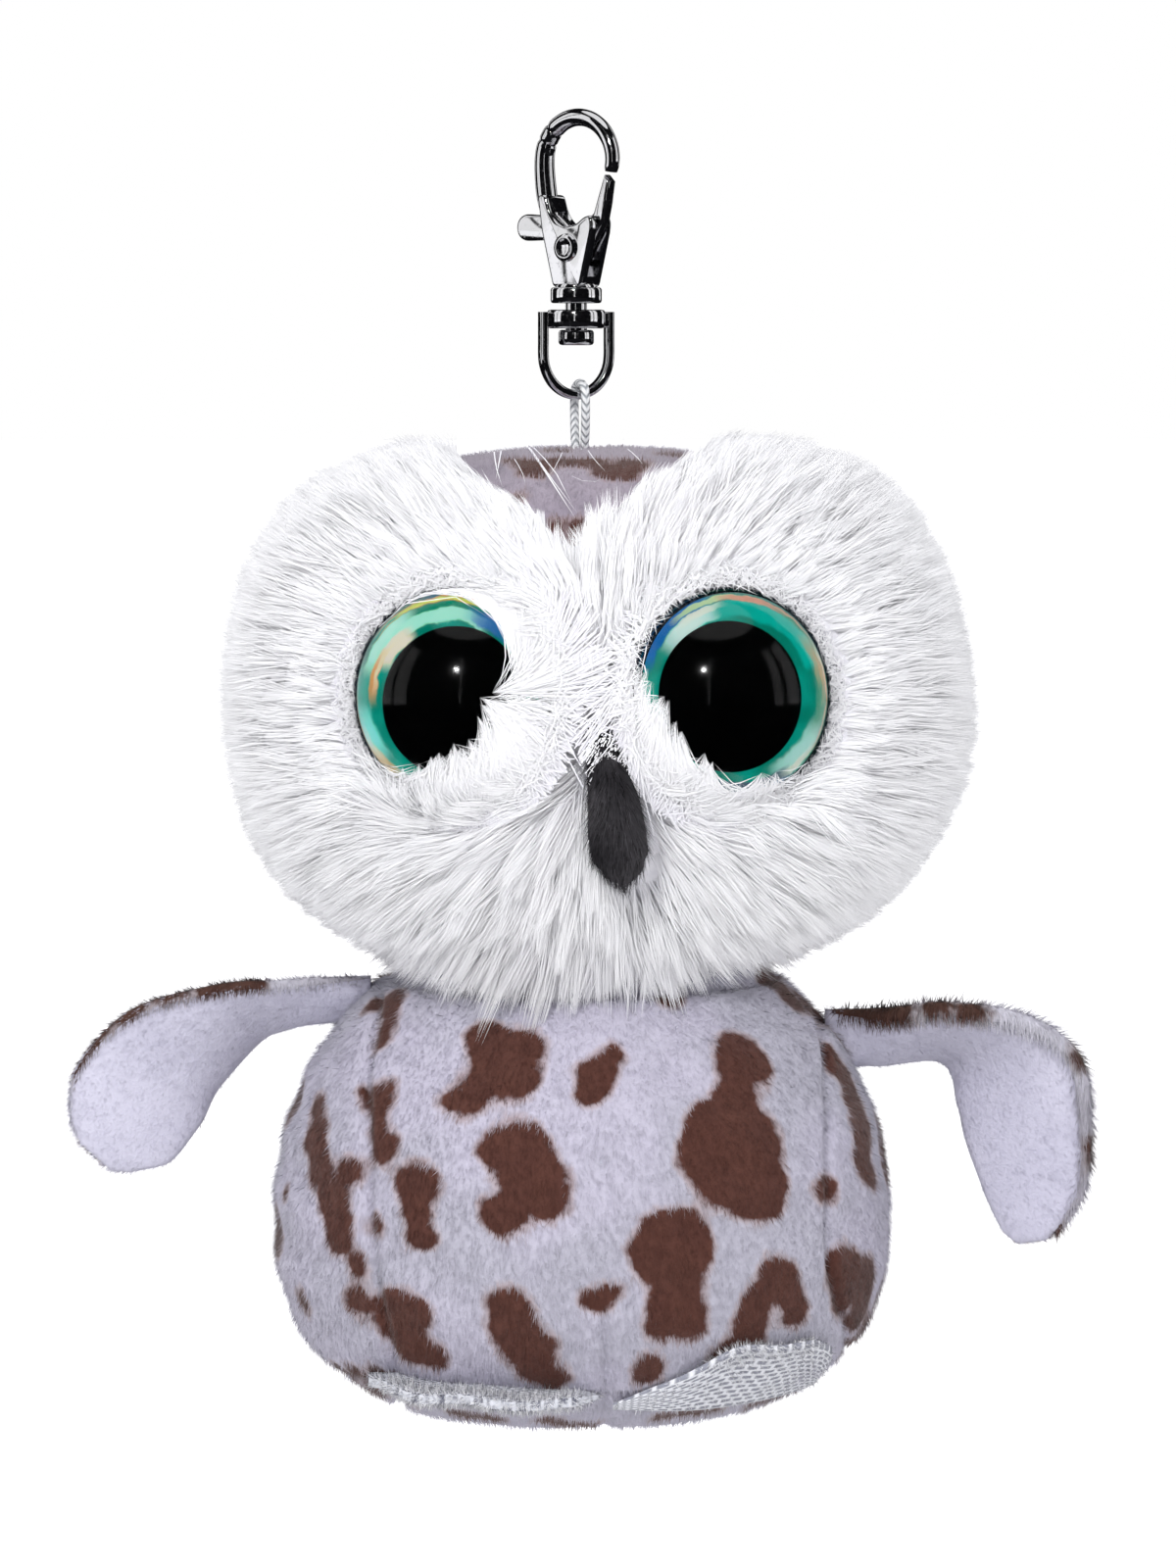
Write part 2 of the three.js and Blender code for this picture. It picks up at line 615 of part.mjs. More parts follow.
// Where a wing's root turns: a rounded root's radius outside the torso's side
function shoulder(rootHeight) {
  const reach = torso.halfWidth * fullnessAt(torso, rootHeight);
  const lean = ((torso.halfWidth / torso.rise) ** 2 * (rootHeight - torso.centre)) / reach;
  const stand = (wing.rootRadius + seamGap + seamGap / 2) / Math.hypot(1, lean);
  return { out: reach + stand, up: rootHeight + stand * lean };
}

// One sewn layer of a wing: the spotted outer one or the plain lining
function wingLayer(side, { rootHeight, shares }, outer) {
  const root = shoulder(rootHeight);
  const centres = new THREE.CatmullRomCurve3(shares.map(([out, up]) => (
    new THREE.Vector3(root.out + wing.reach * out, 0, root.up + wing.reach * up)
  )));
  const chords = new THREE.CatmullRomCurve3(shares.map(([, , out, back, up]) => (
    new THREE.Vector3(out, back, up).multiplyScalar(wing.halfChord)
  )));
  const geometry = new THREE.BoxGeometry(1, 1, 1, 14, 4, 1);
  const place = geometry.attributes.position;
  for (let i = 0; i < place.count; i += 1) {
    const along = place.getX(i) + 0.5;
    const across = place.getY(i) * 2;
    const chord = chords.getPoint(along);
    const normal = new THREE.Vector3()
      .crossVectors(centres.getTangent(along), chord).normalize();
    const full = mix(wing.thickness, wing.tipThickness, along) / 2;
    const crown = full * (1 - 0.45 * across ** 2);
    const depth = place.getZ(i) > 0 ? crown : seamGap / 2;
    const point = centres.getPoint(along).addScaledVector(chord, across);
    point.addScaledVector(normal, outer ? -depth : depth);
    place.setXYZ(i, side * point.x, point.y, point.z);
  }
  return solidOf(geometry);
}

function footFlap(side, { startDeg, endDeg, rise, tiltDeg }, torsoRoom) {
  const geometry = new THREE.BoxGeometry(1, 1, 1, 10, 2, 1);
  const place = geometry.attributes.position;
  const fullness = fullnessAt(torso, baseSeamHeight);
  for (let i = 0; i < place.count; i += 1) {
    const along = place.getX(i) + 0.5;
    const angle = radians(mix(startDeg, endDeg, along));
    const outward = place.getY(i) + 0.5;
    const reach = foot.reach * Math.sin(Math.PI * mix(...foot.footingShares, along)) ** 0.6;
    const stand = mix(-torsoFabric, reach * Math.cos(radians(tiltDeg)), outward);
    const low = baseSeamHeight - foot.thickness / 2 + rise * along ** 1.5
      + outward * reach * Math.sin(radians(tiltDeg));
    place.setXYZ(
      i,
      side * (torso.halfWidth * fullness + stand) * Math.sin(angle),
      -(torso.halfDepth * fullness + stand) * Math.cos(angle),
      low + (place.getZ(i) + 0.5) * mix(1, 0.7, outward) * foot.thickness,
    );
  }
  return cut(solidOf(geometry), torsoRoom);
}

// Assembly
const owl = new THREE.Group();
const clasp = new THREE.Group();
clasp.rotation.z = radians(claspYawDeg);
clasp.add(
  piece('clasp_hook', claspHook(), chrome()),
  piece('clasp_trigger', claspTrigger(), chrome()),
  piece('trigger_rivet', triggerRivet(), chrome()),
  piece('trigger_spring', triggerSpring(), finish(0x9a9da3, 0.3, 1)),
  piece('swivel_post', swivelPost(), chrome()),
);

const ring = new THREE.Group();
ring.rotation.z = radians(eyeYawDeg);
ring.add(
  piece('swivel_eye', swivelEye(), chrome()),
  piece('hang_cord', hangCord(), finish(0xe4e6e8, 0.8)),
);

const toy = new THREE.Group();
toy.position.set(toySide, toyBack, -baseDrop);

const { skin, fur, lining, filling, envelope, frontHalf } = headForms();
const eyes = { left: eyeStack(-1), right: eyeStack(1) };
const sockets = join(eyes.left.socket, eyes.right.socket);
const washerPockets = join(eyes.left.pocket, eyes.right.pocket);
const cordWell = rod(cord.wellRadius, -cord.tailLength - cord.knotRadius * 2, cutOverrun, 12)
  .translate([cordEntry.x, cordEntry.y, head.centre + head.rise]);
const faceSlot = block(
  [headSide - seamGap / 2, -2 * cutOverrun, 0],
  [headSide + seamGap / 2, 0, crownPanel.apexHeight],
);
const faceCloth = cut(
  cut(fur, lining).intersect(frontHalf.translate([0, -seamGap / 2, 0])),
  crownWedge(seamGap), faceSlot, sockets, beakSolid(seamGap),
);
const crownCloth = cut(skin, lining).intersect(crownWedge(0));
const backCloth = cut(skin, lining, frontHalf.translate([0, seamGap / 2, 0]));
const halfHead = (sign, inset) => block(
  [sign < 0 ? -2 * cutOverrun : headSide + inset, -2 * cutOverrun, -cutOverrun],
  [sign < 0 ? headSide - inset : 2 * cutOverrun, 2 * cutOverrun, 4 * cutOverrun],
);

toy.add(
  piece('head_stuffing', cut(filling, sockets, washerPockets, cordWell), stuffing()),
  piece('face_fur_left', faceCloth.intersect(halfHead(-1, 0)), furWhite()),
  piece('face_fur_right', faceCloth.intersect(halfHead(1, 0)), furWhite()),
  piece('crown_gusset', cut(crownCloth, cordWell, sockets), spottedPlush()),
  piece('head_back_left', backCloth.intersect(halfHead(-1, seamGap / 2)), spottedPlush()),
  piece('head_back_right', backCloth.intersect(halfHead(1, seamGap / 2)), spottedPlush()),
  piece('beak', beakSolid(0), finish(0x2e2d30, 0.95)),
);
for (const [side, stack] of Object.entries(eyes)) {
  toy.add(
    piece(`eye_lens_${side}`, stack.lens, finish(0x8fd8cc, 0.05)),
    piece(`eye_pupil_${side}`, stack.pupil, finish(0x0a0a0c, 0.2)),
    piece(`eye_foil_${side}`, stack.foil, finish(0x12a590, 0.25, 0.6)),
    piece(`eye_cup_${side}`, stack.cup, finish(0x1b1c20, 0.3)),
    piece(`eye_washer_${side}`, stack.washer, finish(0xd8d8d4, 0.6)),
  );
}

const torsoBody = torsoForms(envelope);
const panels = torsoPanels(torsoBody);
const beanLayer = block([-cutOverrun, -cutOverrun, -cutOverrun], [cutOverrun, cutOverrun, beanHeight]);
const beanTop = beanLayer.translate([0, 0, seamGap]);
const torsoRoom = stuffed(grow(torso, seamGap), 0, 28, 18);
toy.add(
  piece('torso_stuffing', cut(torsoBody.filling, beanTop), stuffing()),
  piece('bean_fill', torsoBody.filling.intersect(beanLayer), finish(0xd9d4c8, 0.8)),
  piece('torso_front', panels.front, spottedPlush()),
  piece('torso_side_left', panels.left, spottedPlush()),
  piece('torso_side_right', panels.right, spottedPlush()),
  piece('base_panel', panels.base, spottedPlush()),
  piece('wing_outer_left', wingLayer(-1, leftWing, true), spottedPlush()),
  piece('wing_lining_left', wingLayer(-1, leftWing, false), liningPlush()),
  piece('wing_outer_right', wingLayer(1, rightWing, true), spottedPlush()),
  piece('wing_lining_right', wingLayer(1, rightWing, false), liningPlush()),
  piece('foot_left', footFlap(-1, leftFoot, torsoRoom), furWhite()),
  piece('foot_right', footFlap(1, rightFoot, torsoRoom), furWhite()),
);

const knot = new THREE.Group();
knot.rotation.z = radians(eyeYawDeg);
knot.add(piece('cord_knot', cordKnot(), finish(0xe4e6e8, 0.8)));

owl.add(clasp, ring, knot, toy);

export default owl;
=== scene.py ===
"""A plush owl on a swivel key clasp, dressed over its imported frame.

Sizes are written in millimetres and become metres where a piece is finished. The owl's own
frame has its base at height 0, and the clasp's own frame has the top of its hook at height 0.
"""
import sys
import logging
import math
from dataclasses import dataclass, field
from enum import Enum

import bmesh
import bpy
import numpy as np
from mathutils import Matrix, Vector, kdtree


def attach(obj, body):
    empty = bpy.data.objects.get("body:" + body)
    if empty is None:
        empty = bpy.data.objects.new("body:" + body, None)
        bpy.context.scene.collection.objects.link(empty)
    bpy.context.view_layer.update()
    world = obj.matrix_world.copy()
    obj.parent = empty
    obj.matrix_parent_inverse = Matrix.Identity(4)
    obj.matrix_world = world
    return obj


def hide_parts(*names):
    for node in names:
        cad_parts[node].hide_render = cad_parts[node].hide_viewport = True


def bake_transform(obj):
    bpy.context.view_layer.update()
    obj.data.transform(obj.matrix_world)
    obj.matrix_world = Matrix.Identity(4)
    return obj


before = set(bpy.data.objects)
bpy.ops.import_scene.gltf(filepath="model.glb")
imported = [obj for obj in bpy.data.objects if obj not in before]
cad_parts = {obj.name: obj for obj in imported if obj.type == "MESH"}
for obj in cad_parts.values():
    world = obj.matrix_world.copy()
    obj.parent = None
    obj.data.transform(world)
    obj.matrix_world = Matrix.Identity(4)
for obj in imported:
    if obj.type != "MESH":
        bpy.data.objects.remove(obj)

log = logging.getLogger("plush_owl")
MM = 0.001
TOY_PLACE = Matrix.Translation((0.6, 2.4, -131.5))
CLASP_PLACE = Matrix.Rotation(math.radians(-40), 4, "Z")
RING_PLACE = Matrix.Rotation(math.radians(15), 4, "Z")
IDENTITY = Matrix.Identity(4)


class Side(Enum):
    """The viewer's left or right, as the sign of its x."""

    LEFT = -1
    RIGHT = 1

    @property
    def word(self) -> str:
        """The side as it stands in a piece's name."""
        return self.name.lower()


class Slot(Enum):
    """The record's material slots that the dressed pieces take."""

    CHROME = "chrome_casting"
    SPRING = "spring_wire"
    CORD = "white_cord"
    STUFFING = "stuffing"
    BEANS = "bean_fill"
    FUR = "long_pile_fur"
    PLUSH = "spotted_plush"
    LINING = "lining_plush"
    KNIT = "knit_foot"
    FELT = "charcoal_felt"
    LENS = "clear_lens"
    PUPIL = "black_pupil"
    FOIL = "iris_foil"
    CUP = "eye_cup"
    WASHER = "lock_washer"


def srgb(red: float, green: float, blue: float) -> tuple[float, float, float, float]:
    """Turns a colour of 0 to 255 into the linear one that a shader takes.

    Args:
        red: the red value.
        green: the green value.
        blue: the blue value.

    Returns:
        The linear colour with an alpha of 1.
    """
    def linear(value: float) -> float:
        """One value from 0 to 255 made linear."""
        share = value / 255
        return share / 12.92 if share <= 0.04045 else ((share + 0.055) / 1.055) ** 2.4

    return (linear(red), linear(green), linear(blue), 1.0)


def smooth(values: np.ndarray, low: float, high: float) -> np.ndarray:
    """A soft step from 0 at low to 1 at high."""
    share = np.clip((values - low) / (high - low), 0, 1)
    return share * share * (3 - 2 * share)


def unit(vectors: np.ndarray) -> np.ndarray:
    """The vectors of an array, each made one long."""
    return vectors / np.maximum(np.linalg.norm(vectors, axis=-1, keepdims=True), 1e-9)


def place_points(place: Matrix, points: np.ndarray) -> np.ndarray:
    """Points moved by a placing matrix."""
    turn = np.array(place)[:3, :3]
    return points @ turn.T + np.array(place)[:3, 3]


class Graph:
    """Places nodes in a node tree, sets their values and links them."""

    def __init__(self, tree: bpy.types.NodeTree) -> None:
        """Keeps the tree to work on."""
        self.tree = tree

    def feed(self, socket: bpy.types.NodeSocket, value: object) -> None:
        """Links a socket to another, or sets its plain value.

        Args:
            socket: the input to fill.
            value: an output socket, a number, a vector or a colour.
        """
        if isinstance(value, bpy.types.NodeSocket):
            self.tree.links.new(value, socket)
        else:
            socket.default_value = value

    def add(self, kind: str, settings: dict | None = None, **inputs: object) -> bpy.types.Node:
        """Adds one node.

        Args:
            kind: the node's type name without its ShaderNode start.
            settings: properties of the node itself.
            inputs: values or sockets for its inputs, an underscore standing for a space.

        Returns:
            The new node.
        """
        node = self.tree.nodes.new(f"ShaderNode{kind}")
        for name, value in (settings or {}).items():
            setattr(node, name, value)
        for name, value in inputs.items():
            self.feed(node.inputs[name.replace("_", " ")], value)
        return node

    def math(self, operation: str, *values: object, clamp: bool = False) -> bpy.types.NodeSocket:
        """A Math node's result."""
        node = self.add("Math", {"operation": operation, "use_clamp": clamp})
        for socket, value in zip(node.inputs, values):
            self.feed(socket, value)
        return node.outputs[0]

    def mix(self, share: object, first: object, second: object) -> bpy.types.NodeSocket:
        """A colour between two, by share."""
        node = self.add("Mix", {"data_type": "RGBA"})
        for index, value in ((0, share), (6, first), (7, second)):
            self.feed(node.inputs[index], value)
        return node.outputs[2]

    def step(self, value: object, low: float, high: float) -> bpy.types.NodeSocket:
        """A soft step from 0 at low to 1 at high."""
        node = self.add("MapRange", {"interpolation_type": "SMOOTHSTEP"})
        for index, part in ((0, value), (1, low), (2, high), (3, 0.0), (4, 1.0)):
            self.feed(node.inputs[index], part)
        return node.outputs[0]

    def noise(self, vector: object, scale: float, detail: float = 2.0) -> bpy.types.NodeSocket:
        """Noise over a vector, about 0.5."""
        return self.add("TexNoise", Vector=vector, Scale=scale, Detail=detail).outputs["Fac"]

    def attribute(self, name: str) -> bpy.types.NodeSocket:
        """A mesh attribute's value."""
        return self.add("Attribute", {"attribute_name": name}).outputs["Fac"]

    def object_coords(self) -> bpy.types.NodeSocket:
        """The piece's own coordinates."""
        return self.add("TexCoord").outputs["Object"]

    def bump(self, height: object, distance: float, strength: float = 1.0) -> bpy.types.NodeSocket:
        """A Bump node's normal for a height in the range of 0 to 1."""
        return self.add("Bump", Height=height, Distance=distance, Strength=strength).outputs[0]


def shader_group(name: str, inputs: dict[str, str], outputs: dict[str, str]) -> tuple:
    """Starts a shared node group, or finds the one already built.

    Args:
        name: the group's name.
        inputs: each input's name and socket type.
        outputs: each output's name and socket type.

    Returns:
        The group, its Graph, its input node and its output node, all but the first None if it
        was built before.
    """
    found = bpy.data.node_groups.get(name)
    if found:
        return found, None, None, None
    group = bpy.data.node_groups.new(name, "ShaderNodeTree")
    for direction, sockets in (("INPUT", inputs), ("OUTPUT", outputs)):
        for label, kind in sockets.items():
            group.interface.new_socket(label, in_out=direction, socket_type=f"NodeSocket{kind}")
    graph = Graph(group)
    start, end = group.nodes.new("NodeGroupInput"), group.nodes.new("NodeGroupOutput")
    return group, graph, start, end


def fuzz_grain() -> bpy.types.NodeTree:
    """The fine grain that every cloth here shares: mottled pile with small clumps.

    Returns:
        The node group, with a Tone near 1 and a Height from 0 to 1.
    """
    group, graph, start, end = shader_group(
        "fuzz_grain", {"Vector": "Vector", "Scale": "Float", "Contrast": "Float"},
        {"Tone": "Float", "Height": "Float"},
    )
    if graph:
        vector, scale = start.outputs["Vector"], start.outputs["Scale"]
        fine = graph.noise(vector, scale, 3.0)
        broad = graph.noise(vector, graph.math("MULTIPLY", scale, 0.16), 2.0)
        height = graph.math("ADD", graph.math("MULTIPLY", fine, 0.7), graph.math("MULTIPLY", broad, 0.3))
        swing = graph.math("MULTIPLY", graph.math("SUBTRACT", height, 0.5), start.outputs["Contrast"])
        graph.feed(end.inputs["Tone"], graph.math("ADD", swing, 1.0))
        graph.feed(end.inputs["Height"], height)
    return group


def handling_wear() -> bpy.types.NodeTree:
    """Fine rub marks and the soft ripple of a plated casting.

    Returns:
        The node group, with a Rough to add to the roughness and a Height from 0 to 1.
    """
    group, graph, start, end = shader_group(
        "handling_wear", {"Vector": "Vector", "Scale": "Float"}, {"Rough": "Float", "Height": "Float"},
    )
    if graph:
        vector, scale = start.outputs["Vector"], start.outputs["Scale"]
        ripple = graph.noise(vector, scale, 1.0)
        rub = graph.noise(vector, graph.math("MULTIPLY", scale, 9.0), 4.0)
        graph.feed(end.inputs["Rough"], graph.math("MULTIPLY", graph.step(rub, 0.5, 0.75), 0.14))
        graph.feed(end.inputs["Height"], ripple)
    return group


def soft_arc() -> bpy.types.NodeTree:
    """A soft-edged arc of colour on the foil, for its own streaks and for painted highlights alike: a band of
    radius, over a span of directions.

    Returns:
        The node group, with a Mask from 0 to 1.
    """
    group, graph, start, end = shader_group(
        "soft_arc",
        {"Across": "Float", "Up": "Float", "Radius": "Float", "Middle": "Float", "Half": "Float",
         "Aim X": "Float", "Aim Y": "Float", "Span": "Float"},
        {"Mask": "Float"},
    )
    if graph:
        take = start.outputs
        away = graph.math("ABSOLUTE", graph.math("SUBTRACT", take["Radius"], take["Middle"]))
        band = graph.step(graph.math("DIVIDE", away, take["Half"]), 1.25, 0.75)
        toward = graph.math(
            "ADD", graph.math("MULTIPLY", take["Across"], take["Aim X"]),
            graph.math("MULTIPLY", take["Up"], take["Aim Y"]),
        )
        facing = graph.math("DIVIDE", toward, graph.math("MAXIMUM", take["Radius"], 0.01))
        window = graph.step(graph.math("SUBTRACT", facing, take["Span"]), -0.06, 0.06)
        graph.feed(end.inputs["Mask"], graph.math("MULTIPLY", band, window))
    return group


@dataclass(frozen=True)
class Finish:
    """What every finish has: its name, its slot and a way to make its material once."""

    name: str
    slot: Slot

    def material(self) -> bpy.types.Material:
        """The finish as a Blender material, made at its first use.

        Returns:
            The material, its Principled shader linked to the output.
        """
        found = bpy.data.materials.get(self.name)
        if found:
            return found
        material = bpy.data.materials.new(self.name)
        material.use_nodes = True
        graph = Graph(material.node_tree)
        self.paint(graph, material.node_tree.nodes["Principled BSDF"].inputs)
        return material

    def paint(self, graph: Graph, shader: object) -> None:
        """Sets the shader's sockets and links its nodes."""
        raise NotImplementedError

    def use(self, graph: Graph, group: bpy.types.NodeTree, **inputs: object) -> object:
        """Places a shared group in this finish and returns its outputs."""
        node = graph.add("Group", {"node_tree": group}, **inputs)
        return node.outputs


@dataclass(frozen=True)
class Metal(Finish):
    """Bright plated or bare metal."""

    color: tuple = (0.8, 0.8, 0.82, 1)
    roughness: float = 0.07
    ripple: float = 0.02

    def paint(self, graph: Graph, shader: object) -> None:
        """Ripple in the plating, and rub marks that dull it in places."""
        wear = self.use(graph, handling_wear(), Vector=graph.object_coords(), Scale=260.0)
        shader["Metallic"].default_value = 1.0
        dark = tuple(part * 0.82 for part in self.color[:3]) + (1,)
        graph.feed(shader["Base Color"], graph.mix(wear["Height"], self.color, dark))
        graph.feed(shader["Roughness"], graph.math("ADD", wear["Rough"], self.roughness))
        graph.feed(shader["Normal"], graph.bump(wear["Height"], self.ripple * MM * 10, 0.35))


@dataclass(frozen=True)
class Pile(Finish):
    """Short-pile cloth: ground, print and grain. Loose fibres carry the same print."""

    ground: tuple = srgb(190, 186, 202)
    second: tuple = srgb(178, 176, 189)
    print_color: tuple = srgb(92, 56, 46)
    fringe: tuple = srgb(158, 132, 124)
    grain: float = 2400.0
    contrast: float = 0.22
    sheen: float = 0.25

    def paint(self, graph: Graph, shader: object) -> None:
        """The print is a distance in millimetres from the edge of its nearest spot."""
        coords = graph.object_coords()
        fuzz = self.use(graph, fuzz_grain(), Vector=coords, Scale=self.grain, Contrast=self.contrast)
        clouds = graph.step(graph.noise(coords, 75.0, 2.0), 0.36, 0.64)
        ground = graph.mix(clouds, self.ground, self.second)
        ragged = graph.math("SUBTRACT", graph.noise(coords, 380.0, 4.0), 0.5)
        edge = graph.math("ADD", graph.attribute("spot"), graph.math("MULTIPLY", ragged, 2.4))
        halo = graph.math("MULTIPLY", graph.step(edge, -0.8, -0.1), 0.5)
        printed = graph.mix(halo, ground, self.fringe)
        deep = graph.mix(graph.noise(coords, 420.0, 2.0), self.print_color, srgb(74, 42, 36))
        printed = graph.mix(graph.step(edge, -0.3, 0.35), printed, deep)
        tone = graph.math("MULTIPLY", fuzz["Tone"], graph.math("ADD", graph.attribute("tone"), 1.0))
        color = graph.add("Mix", {"data_type": "RGBA", "blend_type": "MULTIPLY"})
        graph.feed(color.inputs[0], 1.0)
        graph.feed(color.inputs[6], printed)
        merged = graph.add("CombineColor", Red=tone, Green=tone, Blue=tone)
        graph.feed(color.inputs[7], merged.outputs[0])
        graph.feed(shader["Base Color"], color.outputs[2])
        shader["Roughness"].default_value = 0.85
        shader["Specular IOR Level"].default_value = 0.2 if self.sheen > 0.1 else 0.05
        shader["Sheen Weight"].default_value = self.sheen
        shader["Sheen Roughness"].default_value = 0.5
        graph.feed(shader["Normal"], graph.bump(fuzz["Height"], 0.25 * MM, 0.6))


@dataclass(frozen=True)
class Fur(Finish):
    """White long-pile strands, a little greyer towards their roots as painted shade deep in the pile."""

    root: tuple = srgb(243, 242, 247)
    tip: tuple = srgb(252, 252, 253)

    def paint(self, graph: Graph, shader: object) -> None:
        """Colour by the share along a strand, and a tone for each strand."""
        along, tone = graph.attribute("along"), graph.attribute("tone")
        # Painted shade: the colour goes greyer from tip to root, where the pile lies deep.
        base = graph.mix(graph.step(along, 0.0, 0.6), self.root, self.tip)
        cool = graph.mix(graph.math("ABSOLUTE", tone, clamp=True), base, srgb(212, 212, 221))
        graph.feed(shader["Base Color"], cool)
        shader["Roughness"].default_value = 0.5
        shader["Specular IOR Level"].default_value = 0.12
        shader["Sheen Weight"].default_value = 0.3


@dataclass(frozen=True)
class Plain(Finish):
    """Plain stuff with a grain: stuffing, beans, plastics and undercoat."""

    color: tuple = (0.8, 0.8, 0.8, 1)
    second: tuple = (0.7, 0.7, 0.7, 1)
    roughness: float = 0.8
    grain: float = 900.0
    depth: float = 0.3
    gloss: float = 0.5

    def paint(self, graph: Graph, shader: object) -> None:
        """Two colours over the grain, and its relief."""
        shader["Specular IOR Level"].default_value = self.gloss
        fuzz = self.use(graph, fuzz_grain(), Vector=graph.object_coords(), Scale=self.grain, Contrast=0.2)
        raised = graph.step(fuzz["Height"], 0.35, 0.65)
        graph.feed(shader["Base Color"], graph.mix(raised, self.color, self.second))
        shader["Roughness"].default_value = self.roughness
        graph.feed(shader["Normal"], graph.bump(fuzz["Height"], self.depth * MM, 0.5))


@dataclass(frozen=True)
class Knit(Finish):
    """White knitted mesh: rows of small open loops along the piece's own map, their openings coloured dark as
    painted shade.
    """

    thread: tuple = srgb(228, 229, 235)
    shaded_hole: tuple = srgb(120, 122, 138)
    rows: float = 0.74
    stitch: float = 1.35

    def paint(self, graph: Graph, shader: object) -> None:
        """Dashes in rows, each row shifted half a stitch, with a noisy thread edge. The openings take a dark
        colour, painted shade, and sink in the bump.
        """
        place = graph.add("SeparateXYZ", Vector=graph.add("TexCoord").outputs["UV"]).outputs
        coords = graph.object_coords()
        wander = graph.math("MULTIPLY", graph.math("SUBTRACT", graph.noise(coords, 700.0), 0.5), 0.5)
        row = graph.math("DIVIDE", graph.math("ADD", place["Y"], wander), self.rows)
        shift = graph.math("MULTIPLY", graph.math("MODULO", graph.math("FLOOR", row), 2.0), 0.5)
        run = graph.math("ADD", graph.math("DIVIDE", place["X"], self.stitch), shift)
        up = graph.math("ABSOLUTE", graph.math("SUBTRACT", graph.math("FRACT", row), 0.5))
        across = graph.math("ABSOLUTE", graph.math("SUBTRACT", graph.math("FRACT", run), 0.5))
        open_up = graph.step(up, 0.34, 0.16)
        open_across = graph.step(across, 0.42, 0.24)
        shaded_hole = graph.math("MULTIPLY", open_up, open_across)
        dark = graph.math("MULTIPLY", shaded_hole, 0.85)
        # Painted shade: the openings are mixed towards the dark hole colour.
        graph.feed(shader["Base Color"], graph.mix(dark, self.thread, self.shaded_hole))
        shader["Roughness"].default_value = 0.8
        shader["Sheen Weight"].default_value = 0.2
        graph.feed(shader["Normal"], graph.bump(graph.math("SUBTRACT", 1.0, shaded_hole), 0.25 * MM, 0.9))


@dataclass(frozen=True)
class Braid(Finish):
    """White braided cord: two sets of strands that cross as chevrons, with painted shade in the grooves
    between them.
    """

    def paint(self, graph: Graph, shader: object) -> None:
        """The map's x runs along the cord in millimetres, and its y once round it."""
        place = graph.add("SeparateXYZ", Vector=graph.add("TexCoord").outputs["UV"]).outputs
        turn = graph.math("MULTIPLY", place["Y"], 4.0)
        run = graph.math("MULTIPLY", place["X"], 1.25)
        zig = graph.math("PINGPONG", turn, 1.0)
        wave = graph.math("ADD", run, graph.math("MULTIPLY", zig, 0.85))
        strand = graph.math("PINGPONG", graph.math("MULTIPLY", wave, 2.0), 1.0)
        valley = graph.math("PINGPONG", graph.math("MULTIPLY", turn, 2.0), 1.0)
        crossing = graph.math("ADD", graph.math("MULTIPLY", valley, 0.35), 0.65)
        height = graph.math("MULTIPLY", graph.step(strand, 0.0, 0.65), crossing)
        # Painted shade: the grooves and the crossings are coloured grey, the strands' crowns white.
        graph.feed(shader["Base Color"], graph.mix(height, srgb(150, 155, 160), srgb(244, 245, 246)))
        shader["Roughness"].default_value = 0.45
        graph.feed(shader["Normal"], graph.bump(height, 0.14 * MM, 1.0))


@dataclass(frozen=True)
class Glass(Finish):
    """Clear moulded acrylic."""

    tint: tuple = srgb(244, 250, 248)

    def paint(self, graph: Graph, shader: object) -> None:
        """Plain transmission, with the faintest mould ripple in the normal."""
        shader["Base Color"].default_value = self.tint
        shader["Roughness"].default_value = 0.1
        shader["Transmission Weight"].default_value = 1.0
        shader["IOR"].default_value = 1.27
        ripple = graph.noise(graph.object_coords(), 120.0, 1.0)
        graph.feed(shader["Normal"], graph.bump(ripple, 0.02 * MM, 0.15))


@dataclass(frozen=True)
class Arc:
    """One arc of colour on the foil, used for its own streaks and for painted highlights and reflections:
    radius and half width in millimetres, aim in degrees.
    """

    middle: float
    half: float
    aim: float
    span: float
    color: tuple
    strength: float = 1.0


